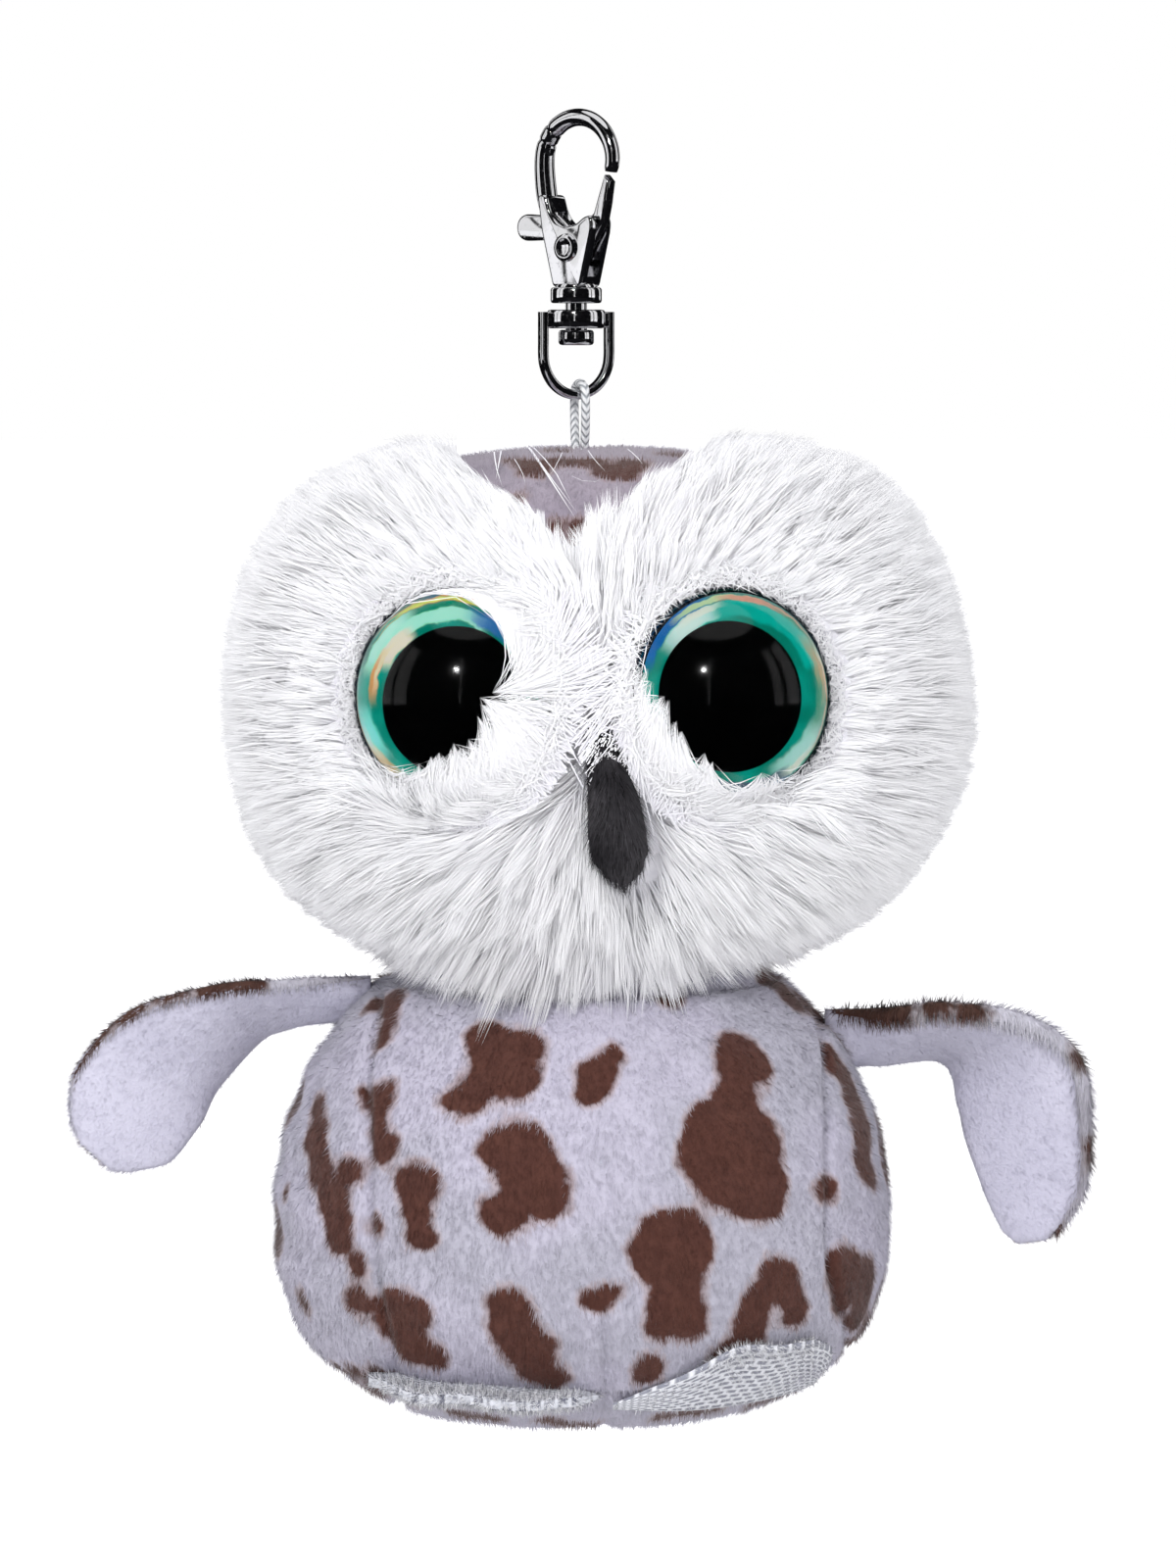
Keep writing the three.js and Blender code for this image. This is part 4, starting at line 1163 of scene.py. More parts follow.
    def post(self) -> None:
        """The headed post between the collar and the eye."""
        piece = Piece("headed_post", "clasp", CHROME)
        profile = [(0, -22.15), (1.45, -22.15), (1.68, -22.08), (1.8, -21.85), (1.8, -20.9), (1.7, -20.68),
                   (1.5, -20.6), (1.1, -20.6), (1.1, -17.9), (0, -17.9)]
        lathe(piece.bm, profile, Vector((0, 0, 1)), 48)
        piece.make(("swivel_post",), CLASP_PLACE, crease=40)

    def eye(self) -> None:
        """The eye: a bar bent to a U under its bored barrel."""
        piece = Piece("swivel_ring", "eye", CHROME)
        bm = piece.bm
        wide, top, low = 3.45, -18.78, -27.18
        middle = -23.1
        deep = low - middle
        arc = np.linspace(0, math.pi, 17)
        curve = [(wide * math.cos(a), 0, middle + deep * math.sin(a)) for a in arc]
        points = Route([(wide, 0, top), (wide, 0, -20.2), (wide, 0, -21.7), *curve,
                        (-wide, 0, -21.7), (-wide, 0, -20.2), (-wide, 0, top)]).even(110)
        sizes = []
        for point in points:
            bottom = float(smooth(np.array(point[2]), -24.5, -27.2))
            sizes.append((0.4 + 0.08 * bottom, 1.0))
        sweep(bm, points, sizes, 28, Vector((0, 1, 0)), square=4.5)
        plate(bm, [(-3.3, -20.35), (3.3, -20.35), (3.3, -18.8), (-3.3, -18.8)], -0.9, 0.9, 0.15, 3)
        barrel = [
            (1.25, -20.45), (2.6, -20.45), (2.85, -20.37), (2.95, -20.15), (2.95, -18.85), (2.85, -18.63),
            (2.6, -18.55), (1.25, -18.55), (1.25, -20.45),
        ]
        lathe(bm, barrel, Vector((0, 0, 1)), 48)
        piece.make(("swivel_eye",), RING_PLACE, crease=40)


@dataclass(frozen=True)
class StuffedForm:
    """A sewn and stuffed form: a rounded body with its own fullness up, down and in plan."""

    side: float
    half_width: float
    half_depth: float
    centre: float
    rise: float
    drop: float
    power_up: float
    power_down: float
    power_plan: float

    def shape(self, rays: np.ndarray) -> np.ndarray:
        """The surface's points in given directions from its middle.

        Args:
            rays: directions, one a row.

        Returns:
            The points.
        """
        x, y, z = (rays[:, axis] for axis in range(3))
        level = np.maximum(np.hypot(x, y), 1e-9)
        power = np.where(z > 0, self.power_up, self.power_down)
        upward = (level**power + np.abs(z) ** power) ** (-1 / power)
        plan = self.power_plan
        flat = np.maximum(np.abs(x / level) ** plan + np.abs(y / level) ** plan, 1e-6) ** (-1 / plan)
        reach = flat * upward
        lift = np.where(z > 0, self.rise, self.drop)
        return np.stack([
            self.side + self.half_width * x * reach,
            self.half_depth * y * reach,
            self.centre + lift * z * upward,
        ], axis=1)

    def fullness(self, height: float) -> float:
        """The share of its widest that the form has at a height."""
        up = height > self.centre
        share = abs(height - self.centre) / (self.rise if up else self.drop)
        power = self.power_up if up else self.power_down
        return max(1 - share**power, 1e-6) ** (1 / power)

    def front(self, across: float, height: float) -> float:
        """How far its front stands out at a place on it."""
        full = self.fullness(height)
        share = min(abs(across) / (self.half_width * full), 1)
        return self.half_depth * full * (1 - share**self.power_plan) ** (1 / self.power_plan)

    def mesh(self, bm: bmesh.types.BMesh, subdivisions: int) -> np.ndarray:
        """Adds the form's closed mesh and returns its vertices' places."""
        bmesh.ops.create_icosphere(bm, subdivisions=subdivisions, radius=1.0)
        points = self.shape(np.array([vert.co for vert in bm.verts]))
        set_points(bm, points)
        return points


def set_points(bm: bmesh.types.BMesh, points: np.ndarray) -> None:
    """Puts a mesh's vertices at given points."""
    for vert, point in zip(bm.verts, points):
        vert.co = point
    bm.normal_update()


def get_points(bm: bmesh.types.BMesh) -> tuple[np.ndarray, np.ndarray]:
    """A mesh's vertices and their normals."""
    bm.normal_update()
    return np.array([v.co for v in bm.verts]), np.array([v.normal for v in bm.verts])


HEAD = StuffedForm(1.0, 34.4, 27.0, 72.2, 26.6, 25.7, 2.5, 2.3, 2.6)
TORSO = StuffedForm(0.0, 31.5, 26.5, 21.0, 31.3, 22.0, 2.0, 2.7, 2.2)


@dataclass
class SpotPrint:
    """The generic spotted print: round marks that run together, in the owl's frame.

    The marks began as discs and rows that two scratch scripts computed from outlines and places
    read by hand. They were then merged, thinned and re-sized, and some are unchanged.
    """

    front: tuple = (
        # left of the chin, its hook, and the small one beside it
        (-7.9, 39.0, 2.9), (-5.6, 39.6, 1.8), (-9.9, 40.7, 1.2), (-6.3, 36.8, 1.8), (-9.4, 36.6, 2.1),
        (-11.3, 34.8, 1.6), (-12.9, 34.4, 1.2), (1.7, 37.4, 1.7), (0.9, 35.7, 1.4), (3.1, 39.0, 0.7),
        # the large one right of the chin, down to its round end
        (15.6, 38.5, 2.7), (17.6, 37.4, 1.6), (15.6, 35.0, 1.8), (15.1, 30.0, 5.3), (17.2, 26.1, 3.6),
        (13.4, 28.4, 3.2),
        # the middle of the belly, left and right
        (-6.3, 30.1, 2.7), (-8.3, 30.5, 1.6), (-5.1, 27.5, 3.2), (-3.2, 25.2, 2.0), (-7.6, 23.8, 2.1),
        (8.9, 20.2, 3.9), (9.4, 15.4, 2.4), (8.4, 13.2, 2.0), (10.4, 13.0, 2.0),
        # beside the left seam, from the neck to the foot
        (-19.4, 43.0, 1.5), (-21.2, 42.8, 1.0), (-19.4, 41.2, 0.9), (-20.3, 40.0, 1.1), (-21.9, 35.0, 0.7),
        (-19.3, 35.2, 0.7), (-20.4, 33.8, 1.5), (-20.4, 31.6, 1.1), (-19.7, 29.3, 1.4), (-16.3, 26.3, 2.0),
        (-16.5, 24.1, 1.6), (-16.0, 21.6, 1.5), (-20.7, 22.0, 0.7), (-22.5, 17.7, 0.9), (-22.5, 14.0, 1.4),
        (-18.6, 13.4, 2.1), (-16.2, 13.4, 1.4), (-18.4, 11.0, 1.9), (-17.0, 9.7, 2.0), (-14.6, 8.8, 1.0),
        # the left side
        (-26.8, 32.6, 1.3), (-26.8, 30.0, 1.7), (-26.4, 27.2, 1.8), (-25.1, 24.3, 2.0), (-24.5, 22.4, 2.0),
        (-24.2, 20.4, 1.6), (-23.2, 26.8, 1.3), (-30.0, 23.6, 0.4), (-28.3, 12.9, 1.1), (-22.6, 5.5, 1.5),
        (-20.4, 6.0, 1.3), (-24.4, 5.4, 1.2), (-21.0, 3.6, 1.0),
        # above the feet
        (-7.5, 14.5, 1.8), (-6.7, 12.5, 2.1), (-5.6, 10.4, 2.3), (-4.6, 8.4, 1.8), (-2.6, 7.0, 1.2),
        (1.1, 15.2, 1.0), (2.7, 16.0, 0.9), (6.9, 8.2, 1.3), (6.2, 7.1, 0.8), (19.4, 16.6, 2.0),
        (20.6, 15.0, 1.6), (21.4, 13.2, 1.3), (17.4, 13.9, 1.6), (16.5, 11.2, 2.0), (14.9, 8.9, 2.0),
        # the right side, from the neck down
        (9.0, 44.2, 0.9), (18.2, 46.8, 2.0), (19.4, 45.0, 2.0), (21.2, 43.2, 1.8), (23.2, 42.0, 1.7),
        (25.0, 38.1, 0.8), (25.9, 36.4, 1.3), (27.1, 34.8, 1.7), (27.7, 32.6, 1.8), (28.2, 30.0, 2.1),
        (28.4, 27.4, 1.9), (29.3, 25.4, 1.2), (31.4, 24.4, 0.5), (24.5, 25.1, 1.3), (31.3, 16.0, 0.7),
        (26.3, 17.0, 2.1), (26.6, 14.2, 2.1), (28.4, 15.2, 2.2), (28.3, 12.0, 2.3), (28.4, 9.2, 1.8),
        # along the base, under the feet
        (-18.0, 2.9, 0.7), (-13.0, 1.8, 0.9), (-11.0, 1.6, 1.0), (-9.0, 1.6, 1.0), (-3.4, 1.4, 0.9),
        (-1.4, 0.8, 0.9), (0.8, 0.7, 0.9), (8.4, 1.8, 1.1), (10.6, 2.2, 1.2), (12.8, 2.4, 1.2),
        (17.6, 2.6, 1.0), (19.6, 2.9, 1.1), (21.4, 3.9, 1.1), (24.8, 4.2, 0.5),
    )
    crown: tuple = (
        # the band across the forehead, with its drop at the left
        (-7.0, 97.7, 1.0), (-5.2, 97.4, 1.3), (-4.7, 96.8, 1.2), (-3.0, 97.6, 1.1), (-1.2, 97.6, 1.1),
        (0.6, 97.6, 1.1), (2.3, 97.2, 1.3), (2.8, 96.5, 1.2), (4.2, 96.5, 1.2), (4.4, 97.5, 1.2),
        (5.4, 97.4, 1.1),
        # over the crown's edge, and at the wedge's foot
        (-2.3, 98.6, 1.1), (8.4, 98.3, 0.9), (9.6, 98.2, 0.9), (-6.3, 94.3, 0.5), (-2.5, 91.5, 0.6),
        (-0.6, 91.5, 0.7), (-0.8, 90.4, 0.4),
    )
    join: float = 0.45
    swell: float = 0.25

    def on_form(self, form: StuffedForm, marks: tuple) -> np.ndarray:
        """Marks given from the front, set on a form's front.

        Args:
            form: the form that carries them.
            marks: across, height and radius of each.

        Returns:
            Each mark's middle and radius.
        """
        return np.array([
            (x, -form.front(x - form.side, z), z, r + self.swell) for x, z, r in marks
        ])

    def scattered(self, form: StuffedForm, seed: int, count: int, keep: object) -> np.ndarray:
        """Seeded clusters over the part of a form that the front marks don't reach.

        Args:
            form: the form that carries them.
            seed: the seed.
            count: how many clusters to try.
            keep: a test of a point.

        Returns:
            Each mark's middle and radius.
        """
        rng = np.random.default_rng(seed)
        middles, marks = [], []
        for ray in unit(rng.normal(size=(count, 3))):
            middle = form.shape(ray[None])[0]
            if not keep(middle) or any(np.linalg.norm(middle - m) < 10.5 for m in middles):
                continue
            middles.append(middle)
            heading = unit(np.cross(ray, rng.normal(size=3)))
            place = middle - heading * 2.5
            for _ in range(int(rng.integers(2, 6))):
                marks.append((*place, rng.uniform(1.1, 2.7)))
                heading = unit(heading + rng.normal(size=3) * 0.6)
                place = form.shape(unit(place + heading * 2.4 - [form.side, 0, form.centre])[None])[0]
        return np.array(marks)

    def distance(self, points: np.ndarray, marks: np.ndarray) -> np.ndarray:
        """How far inside the print each point lies, in millimetres.

        Args:
            points: the points.
            marks: each mark's middle and radius.

        Returns:
            A distance for each point, above 0 inside a mark.
        """
        total = np.full(len(points), 1e-9)
        for x, y, z, radius in marks:
            away = radius - np.linalg.norm(points - (x, y, z), axis=1)
            total += np.exp(np.clip(away, -9, 9) / self.join)
        return np.clip(np.log(total) * self.join, -4, 4)

    def put_on(self, host: bpy.types.Object, marks: np.ndarray | None) -> None:
        """Stores on a cloth how far inside the print each of its vertices lies, and an even tone.

        Args:
            host: the cloth, placed as the toy is.
            marks: each mark's middle and radius, or None for a cloth without print.
        """
        local = mesh_points(host.data) - np.array(TOY_PLACE.translation)
        spots = np.full(len(local), -4.0) if marks is None else self.distance(local, marks)
        paint_value(host.data, "spot", spots)
        paint_value(host.data, "tone", np.zeros(len(local)))


def paint_value(mesh: bpy.types.Mesh, name: str, values: np.ndarray) -> None:
    """Stores one number for each vertex of a mesh."""
    layer = mesh.attributes.get(name) or mesh.attributes.new(name, "FLOAT", "POINT")
    layer.data.foreach_set("value", values.astype(np.float32))


def mesh_points(mesh: bpy.types.Mesh) -> np.ndarray:
    """A mesh's vertices in millimetres."""
    points = np.zeros(len(mesh.vertices) * 3, np.float32)
    mesh.vertices.foreach_get("co", points)
    return points.reshape(-1, 3).astype(float) / MM


def ribbons(
    name: str, lines: np.ndarray, sides: np.ndarray, widths: np.ndarray, values: dict[str, np.ndarray],
    facing: np.ndarray | None = None,
) -> bpy.types.Mesh:
    """Makes one mesh of tapering ribbons.

    Args:
        name: the mesh's name.
        lines: the points along each ribbon, ribbon by ribbon.
        sides: each ribbon's sideways direction.
        widths: each ribbon's width at its root.
        values: numbers for each ribbon.
        facing: the direction that each ribbon is shaded to, if not its own.

    Returns:
        The mesh, in metres.
    """
    count, stations = lines.shape[:2]
    steps = stations - 1
    taper = np.array([1.0 - 0.55 * (k / steps) ** 1.5 for k in range(steps)])
    half = widths[:, None, None] * taper[None, :, None] / 2
    left = lines[:, :-1] - sides[:, None] * half
    right = lines[:, :-1] + sides[:, None] * half
    per = 2 * steps + 1
    verts = np.empty((count, per, 3))
    verts[:, 0:2 * steps:2], verts[:, 1:2 * steps:2], verts[:, -1] = left, right, lines[:, -1]
    pattern, starts, at = [], [], 0
    for k in range(steps - 1):
        pattern += [2 * k, 2 * k + 1, 2 * k + 3, 2 * k + 2]
        starts.append(at)
        at += 4
    pattern += [2 * steps - 2, 2 * steps - 1, 2 * steps]
    starts.append(at)
    at += 3
    corners = (np.array(pattern)[None] + per * np.arange(count)[:, None]).ravel()
    loop_starts = (np.array(starts)[None] + at * np.arange(count)[:, None]).ravel()
    mesh = bpy.data.meshes.new(name)
    mesh.vertices.add(count * per)
    mesh.vertices.foreach_set("co", (verts * MM).astype(np.float32).ravel())
    mesh.loops.add(len(corners))
    mesh.loops.foreach_set("vertex_index", corners.astype(np.int32))
    mesh.polygons.add(len(loop_starts))
    mesh.polygons.foreach_set("loop_start", loop_starts.astype(np.int32))
    mesh.update(calc_edges=True)
    mesh.shade_smooth()
    share = np.array([k // 2 / steps for k in range(2 * steps)] + [1.0])
    paint_value(mesh, "along", np.tile(share, count))
    for label, value in values.items():
        paint_value(mesh, label, np.repeat(value, per))
    if facing is not None:
        mesh.normals_split_custom_set_from_vertices(np.repeat(facing, per, axis=0))
    return mesh


@dataclass(frozen=True)
class Roots:
    """Where fibres leave a cloth: places, outward directions and the print there."""

    points: np.ndarray
    normals: np.ndarray
    spots: np.ndarray

    @classmethod
    def on(cls, piece: bpy.types.Object, per_mm2: float, seed: int) -> "Roots":
        """Scatters roots evenly over a piece.

        Args:
            piece: the cloth.
            per_mm2: roots in a square millimetre.
            seed: the seed.

        Returns:
            The roots, in millimetres in the row frame.
        """
        mesh = piece.data
        mesh.calc_loop_triangles()
        points = mesh_points(mesh)
        normals = np.zeros(len(mesh.vertices) * 3, np.float32)
        mesh.vertex_normals.foreach_get("vector", normals)
        normals = normals.reshape(-1, 3).astype(float)
        corners = np.zeros(len(mesh.loop_triangles) * 3, np.int32)
        mesh.loop_triangles.foreach_get("vertices", corners)
        corners = corners.reshape(-1, 3)
        a, b, c = (points[corners[:, k]] for k in range(3))
        area = np.linalg.norm(np.cross(b - a, c - a), axis=1) / 2
        rng = np.random.default_rng(seed)
        count = int(area.sum() * per_mm2)
        chosen = rng.choice(len(area), size=count, p=area / area.sum())
        u, v = rng.random(count), rng.random(count)
        flip = u + v > 1
        u[flip], v[flip] = 1 - u[flip], 1 - v[flip]
        w = 1 - u - v
        mix = [w[:, None], u[:, None], v[:, None]]
        tri = corners[chosen]
        place = sum(part * points[tri[:, k]] for k, part in enumerate(mix))
        facing = unit(sum(part * normals[tri[:, k]] for k, part in enumerate(mix)))
        layer = mesh.attributes.get("spot")
        spots = np.full(count, -4.0)
        if layer:
            known = np.zeros(len(mesh.vertices), np.float32)
            layer.data.foreach_get("value", known)
            spots = sum(part[:, 0] * known[tri[:, k]] for k, part in enumerate(mix))
        return cls(place, facing, spots)

    def where(self, keep: np.ndarray) -> "Roots":
        """The roots that pass a test."""
        return Roots(self.points[keep], self.normals[keep], self.spots[keep])


@dataclass(frozen=True)
class ShortPile:
    """The loose short fibres that soften a cloth's surface and its outline."""

    per_mm2: float = 11.0
    length: float = 1.0
    width: float = 0.13
    lean: float = 1.7
    flow: tuple[float, float, float] = (0.0, 0.0, -1.0)
    tone: float = 0.09

    def grow(
        self, host: bpy.types.Object, name: str, body: str, finish: Finish, seed: int, keep: object = None,
        ride: bool = True,
    ) -> bpy.types.Object:
        """Grows the fibres on a cloth.

        Args:
            host: the cloth.
            name: the new piece's name.
            body: the body it rides on.
            finish: its finish, as the cloth's.
            seed: the seed.
            keep: a test of the roots' places.
            ride: whether it rides on the body.

        Returns:
            The piece.
        """
        roots = Roots.on(host, self.per_mm2, seed)
        if keep:
            roots = roots.where(keep(roots.points))
        rng = np.random.default_rng(seed + 1)
        count = len(roots.points)
        flow = np.array(self.flow) - roots.normals * (roots.normals @ np.array(self.flow))[:, None]
        heading = unit(roots.normals + unit(flow + 1e-6) * self.lean + rng.normal(size=(count, 3)) * 0.36)
        long = self.length * rng.uniform(0.5, 1.25, count)
        feet, tips = roots.points - roots.normals * 0.08, roots.points + heading * long[:, None]
        lines = np.stack([feet, tips], axis=1)
        sides = unit(np.cross(heading, roots.normals) + rng.normal(size=(count, 3)) * 0.2)
        sides *= np.sign(np.einsum("ij,ij->i", np.cross(sides, heading), roots.normals) + 1e-9)[:, None]
        widths = self.width * rng.uniform(0.7, 1.2, count)
        mesh = ribbons(name, lines, sides, widths, {
            "spot": roots.spots, "tone": rng.uniform(-self.tone, self.tone, count),
        }, unit(roots.normals + rng.normal(0, 0.12, (count, 3))))
        return dress(mesh, name, body, finish, ride=ride)


@dataclass
class Torso:
    """The bean-bag body: four spotted panels sewn together, seen as one padded form."""

    groove: float = 0.85
    seams: dict = field(default_factory=lambda: {
        Side.LEFT: ((4.5, -18.6), (7.4, -18.9), (14.2, -20.4), (24.0, -21.4), (36.7, -21.7), (45.4, -20.4)),
        Side.RIGHT: ((4.5, 27.5), (10.5, 26.8), (17.5, 24.9), (36.7, 24.9), (46.3, 23.5)),
    })
    base_seam: float = 4.5
    dart_side: float = 2.3

    def build(self, prints: SpotPrint) -> None:
        """Forms the body, sews its seams, prints it and grows its pile."""
        piece = Piece("torso_plush", "toy", SPOTTED)
        bm = piece.bm
        TORSO.mesh(bm, 7)
        points, normals = get_points(bm)
        points = self.stuffed(points, normals)
        set_points(bm, points)
        body = piece.make(
            ("torso_front", "torso_side_left", "torso_side_right", "base_panel"), TOY_PLACE, recalc=False,
        )
        marks = np.concatenate([
            prints.on_form(TORSO, prints.front),
            prints.scattered(TORSO, 11, 420, lambda p: p[1] > -6 and 2 < p[2] < 47 and abs(p[0]) < 31),
        ])
        prints.put_on(body, marks)
        low, high = -131.3, -131.5 + 48.5
        ShortPile().grow(body, "torso_pile", "toy", SPOTTED, 21, lambda p: (p[:, 2] < high) & (p[:, 2] > low))

    def stuffed(self, points: np.ndarray, normals: np.ndarray) -> np.ndarray:
        """Sinks the seams, swells the panels between them, and fits the neck and the base.

        Args:
            points: the form's vertices.
            normals: their normals.

        Returns:
            The moved vertices.
        """
        slope = np.sqrt(np.maximum(1 - normals[:, 0] ** 2, 0.08))
        rise = np.sqrt(np.maximum(1 - normals[:, 2] ** 2, 0.08))
        front = smooth(-points[:, 1], -0.5, 0.5)
        sink = np.zeros(len(points))
        for line in self.seams.values():
            heights, sides = np.array(line).T
            away = (points[:, 0] - np.interp(points[:, 2], heights, sides)) / slope
            sink = np.maximum(sink, np.exp(-((away / 0.6) ** 2)) * front)
        dart = np.exp(-(((points[:, 0] - self.dart_side) / 0.4) ** 2)) * front
        dart *= smooth(points[:, 2], 14.5, 12.0) * 0.8
        base = np.exp(-((((points[:, 2] - self.base_seam) / rise) / 0.6) ** 2))
        back = np.exp(-((points[:, 0] / 0.5) ** 2)) * (1 - front)
        neck = np.exp(-(((points[:, 2] - 44.7 - 0.03 * np.abs(points[:, 0])) / 0.55) ** 2)) * 0.9
        sink = np.maximum.reduce([sink, dart, base, back, neck])
        ripple = np.sin(points[:, 2] * 0.9 + points[:, 0] * 0.31) * np.sin(points[:, 0] * 0.23 - 1.1)
        swell = 0.18 * ripple * (1 - sink)
        moved = points + normals * (swell - self.groove * sink)[:, None]
        moved[:, 2] = np.maximum(moved[:, 2], 0.0)
        plan = np.minimum(
            (np.abs((moved[:, 0] - HEAD.side) / HEAD.half_width) ** HEAD.power_plan
             + np.abs(moved[:, 1] / HEAD.half_depth) ** HEAD.power_plan) ** (1 / HEAD.power_plan), 0.999)
        ceiling = HEAD.centre - HEAD.drop * (1 - plan**HEAD.power_down) ** (1 / HEAD.power_down) - 0.3
        moved[:, 2] = np.where(moved[:, 2] > 40, np.minimum(moved[:, 2], ceiling), moved[:, 2])
        return moved


@dataclass
class FurPanels:
    """The long-pile face: a ground cloth and combed, clumped strands.

    The brow's points lie within 0.4 mm of places that a scratch script converted from pixels read
    by hand. The outline's and the beak's edges were measured row by row on the picture.
    """

    studio: Studio
    strands: int = 165000
    clumps: int = 8200
    length: float = 8.0
    stations: int = 4
    comb_from: tuple[float, float, float] = (1.5, -20.0, 70.5)
    brow: tuple = (
        (-12.5, 97.6), (-8.6, 95.2), (-5.4, 93.6), (-3.0, 91.0), (-0.6, 89.9), (0.5, 92.7), (4.4, 94.2),
        (6.4, 96.6), (10.8, 98.1),
    )
    middle: tuple[float, float] = (0.4, 7.0)
    outline: tuple = (
        (-30, 30), (-33.8, 25), (-35.8, 20), (-36.8, 15), (-37.2, 10), (-37, 5), (-36, 0), (-34.5, -5),
        (-31.5, -10), (-27, -14), (-22, -17), (-17, -19), (-12, -21.2), (-10, -24.2), (-4, -24.6),
        (-1, -23.4), (4, -22), (10, -21.8), (12.5, -19), (18, -17.8), (22, -17), (28, -14), (32.5, -10),
        (36, -5), (38.5, 0), (39.5, 5), (39.3, 10), (38.5, 15), (37.5, 20), (35.5, 25), (32.5, 30),
        (29, 32.7), (25, 34.2), (20, 35.2), (14, 35.2), (10, 33.8), (0, 33), (-9.5, 33), (-13, 35.2),
        (-17, 35.3), (-22, 34), (-26, 32.2),
    )
    beak_edges: tuple = (
        (-9.5, 3.4, 6.4), (-8.5, 2.3, 6.8), (-6.6, 0.9, 6.8), (-4.7, 0.5, 6.5), (-2.5, 0.3, 5.9),
        (-0.5, 0.1, 5.1), (1.5, 0.15, 4.2), (3.2, 0.25, 3.3), (5.3, 0.3, 2.4), (6.4, 0.6, 1.6),
    )
    strays: tuple = (
        ((-5.4, 98.6), (-3.3, 95.9), (-0.6, 91.9), 0.22), ((-5.2, 98.5), (-2.9, 95.6), (-0.4, 92.4), 0.16),
        ((-4.9, 98.6), (-2.6, 96.3), (-0.9, 93.2), 0.12), ((-8.9, 98.2), (-8.5, 96.5), (-7.9, 94.9), 0.14),
        ((-8.2, 98.3), (-8.4, 96.8), (-8.6, 95.6), 0.14), ((0.6, 98.4), (1.3, 97.5), (2.4, 96.4), 0.08),
        ((-2.0, 98.2), (-2.6, 97.0), (-3.4, 95.8), 0.08), ((4.6, 98.5), (5.4, 97.9), (6.1, 97.1), 0.1),
        ((-1.0, 96.0), (0.8, 95.4), (2.4, 95.9), 0.06), ((-6.8, 97.6), (-6.0, 96.4), (-5.6, 95.2), 0.08),
    )

    def build(self, eyes: list["OwlEye"]) -> None:
        """Makes the ground cloth and its strands."""
        ground = Piece("face_ground", "toy", UNDERCOAT)
        bm = ground.bm
        HEAD.mesh(bm, 6)
        points, normals = get_points(bm)
        lift = np.full(len(points), 1.1)
        lift = np.where(self.in_crown(points, 0.8), -0.9, lift)
        for eye in eyes:
            away, _ = eye.polar(points)
            lift = np.where(away < 10.6, -1.2, lift)
        set_points(bm, points + normals * lift[:, None])
        geom = list(bm.verts) + list(bm.edges) + list(bm.faces)
        bmesh.ops.bisect_plane(bm, geom=geom, plane_co=(0, -0.2, 0), plane_no=(0, 1, 0), clear_outer=True)
        bmesh.ops.holes_fill(bm, edges=[e for e in bm.edges if e.is_boundary], sides=0)
        base = ground.make(("face_fur_left", "face_fur_right"), TOY_PLACE)
        paint_value(base.data, "tone", np.zeros(len(base.data.vertices)))
        self.pile(base, eyes)

    def in_crown(self, points: np.ndarray, margin: float) -> np.ndarray:
        """Which points lie in the crown's wedge, with a margin round it."""
        reach = 12.6 / 8.8
        return (np.abs(points[:, 0] + 1.2) - margin < (points[:, 2] - 89.0) * reach) & (points[:, 1] < 0.5)

    def pile(self, base: bpy.types.Object, eyes: list["OwlEye"]) -> None:
        """Grows the strands on the ground cloth, clears the eyes and the crown, and splits them."""
        roots = Roots.on(base, self.strands / 5200.0, 31)
        local = roots.points - np.array(TOY_PLACE.translation)
        keep = (local[:, 1] < -0.3) & ~self.in_crown(local, 0.3)
        keep &= ~((roots.normals[:, 1] > 0.9) & (local[:, 1] > -1.5))
        for eye in eyes:
            keep &= eye.polar(local)[0] > 10.35
        keep &= ~self.over_beak(local, 0.0)
        points, normals = local[keep], roots.normals[keep]
        rng = np.random.default_rng(32)
        count = len(points)
        picks = rng.choice(count, self.clumps, replace=False)
        tree = kdtree.KDTree(self.clumps)
        for index, pick in enumerate(picks):
            tree.insert(points[pick], index)
        tree.balance()
        owner = np.array([tree.find(p)[1] for p in points])
        clump_turn = rng.normal(0, 0.2, self.clumps)
        clump_lift = rng.normal(0, 0.13, self.clumps)
        clump_long = rng.uniform(0.78, 1.18, self.clumps)
        clump_margin = rng.uniform(-1.3, 0.4, self.clumps)
        long = self.lengths(points, eyes) * clump_long[owner] * rng.uniform(0.8, 1.12, count)
        own = self.lines(points, normals, long, clump_turn[owner] + rng.normal(0, 0.12, count),
                         clump_lift[owner] + rng.normal(0, 0.08, count), eyes)
        guides = self.lines(points[picks], normals[picks], self.lengths(points[picks], eyes) * clump_long,
                            clump_turn, clump_lift, eyes)
        soft = self.fluff(points)
        pull = np.linspace(0, 1, self.stations)[None, :, None] ** 1.3 * (0.6 - 0.3 * soft)[:, None, None]
        lines = own * (1 - pull) + guides[owner] * pull
        for eye in eyes:
            lines = eye.clear(lines, clump_margin[owner])
        lines = self.clear_crown(lines, clump_margin[owner] * 1.3 + 0.3)
        lines = self.within(lines, clump_margin[owner] * 0.8 + rng.uniform(-1.3, 0.8, count))
        for extra, outward in [eye.tufts(rng, self.stations) for eye in eyes] + [self.stray_lines()]:
            lines, normals = np.concatenate([lines, extra]), np.concatenate([normals, outward])
        owner = np.concatenate([owner, rng.integers(0, self.clumps, len(lines) - count)])
        points, count = lines[:, 0], len(lines)
        lines = self.clear_beak(lines, rng.uniform(-0.2, 0.75, count))
        travel = unit(lines[:, -1] - lines[:, 0])
        sides = unit(np.cross(travel, normals))
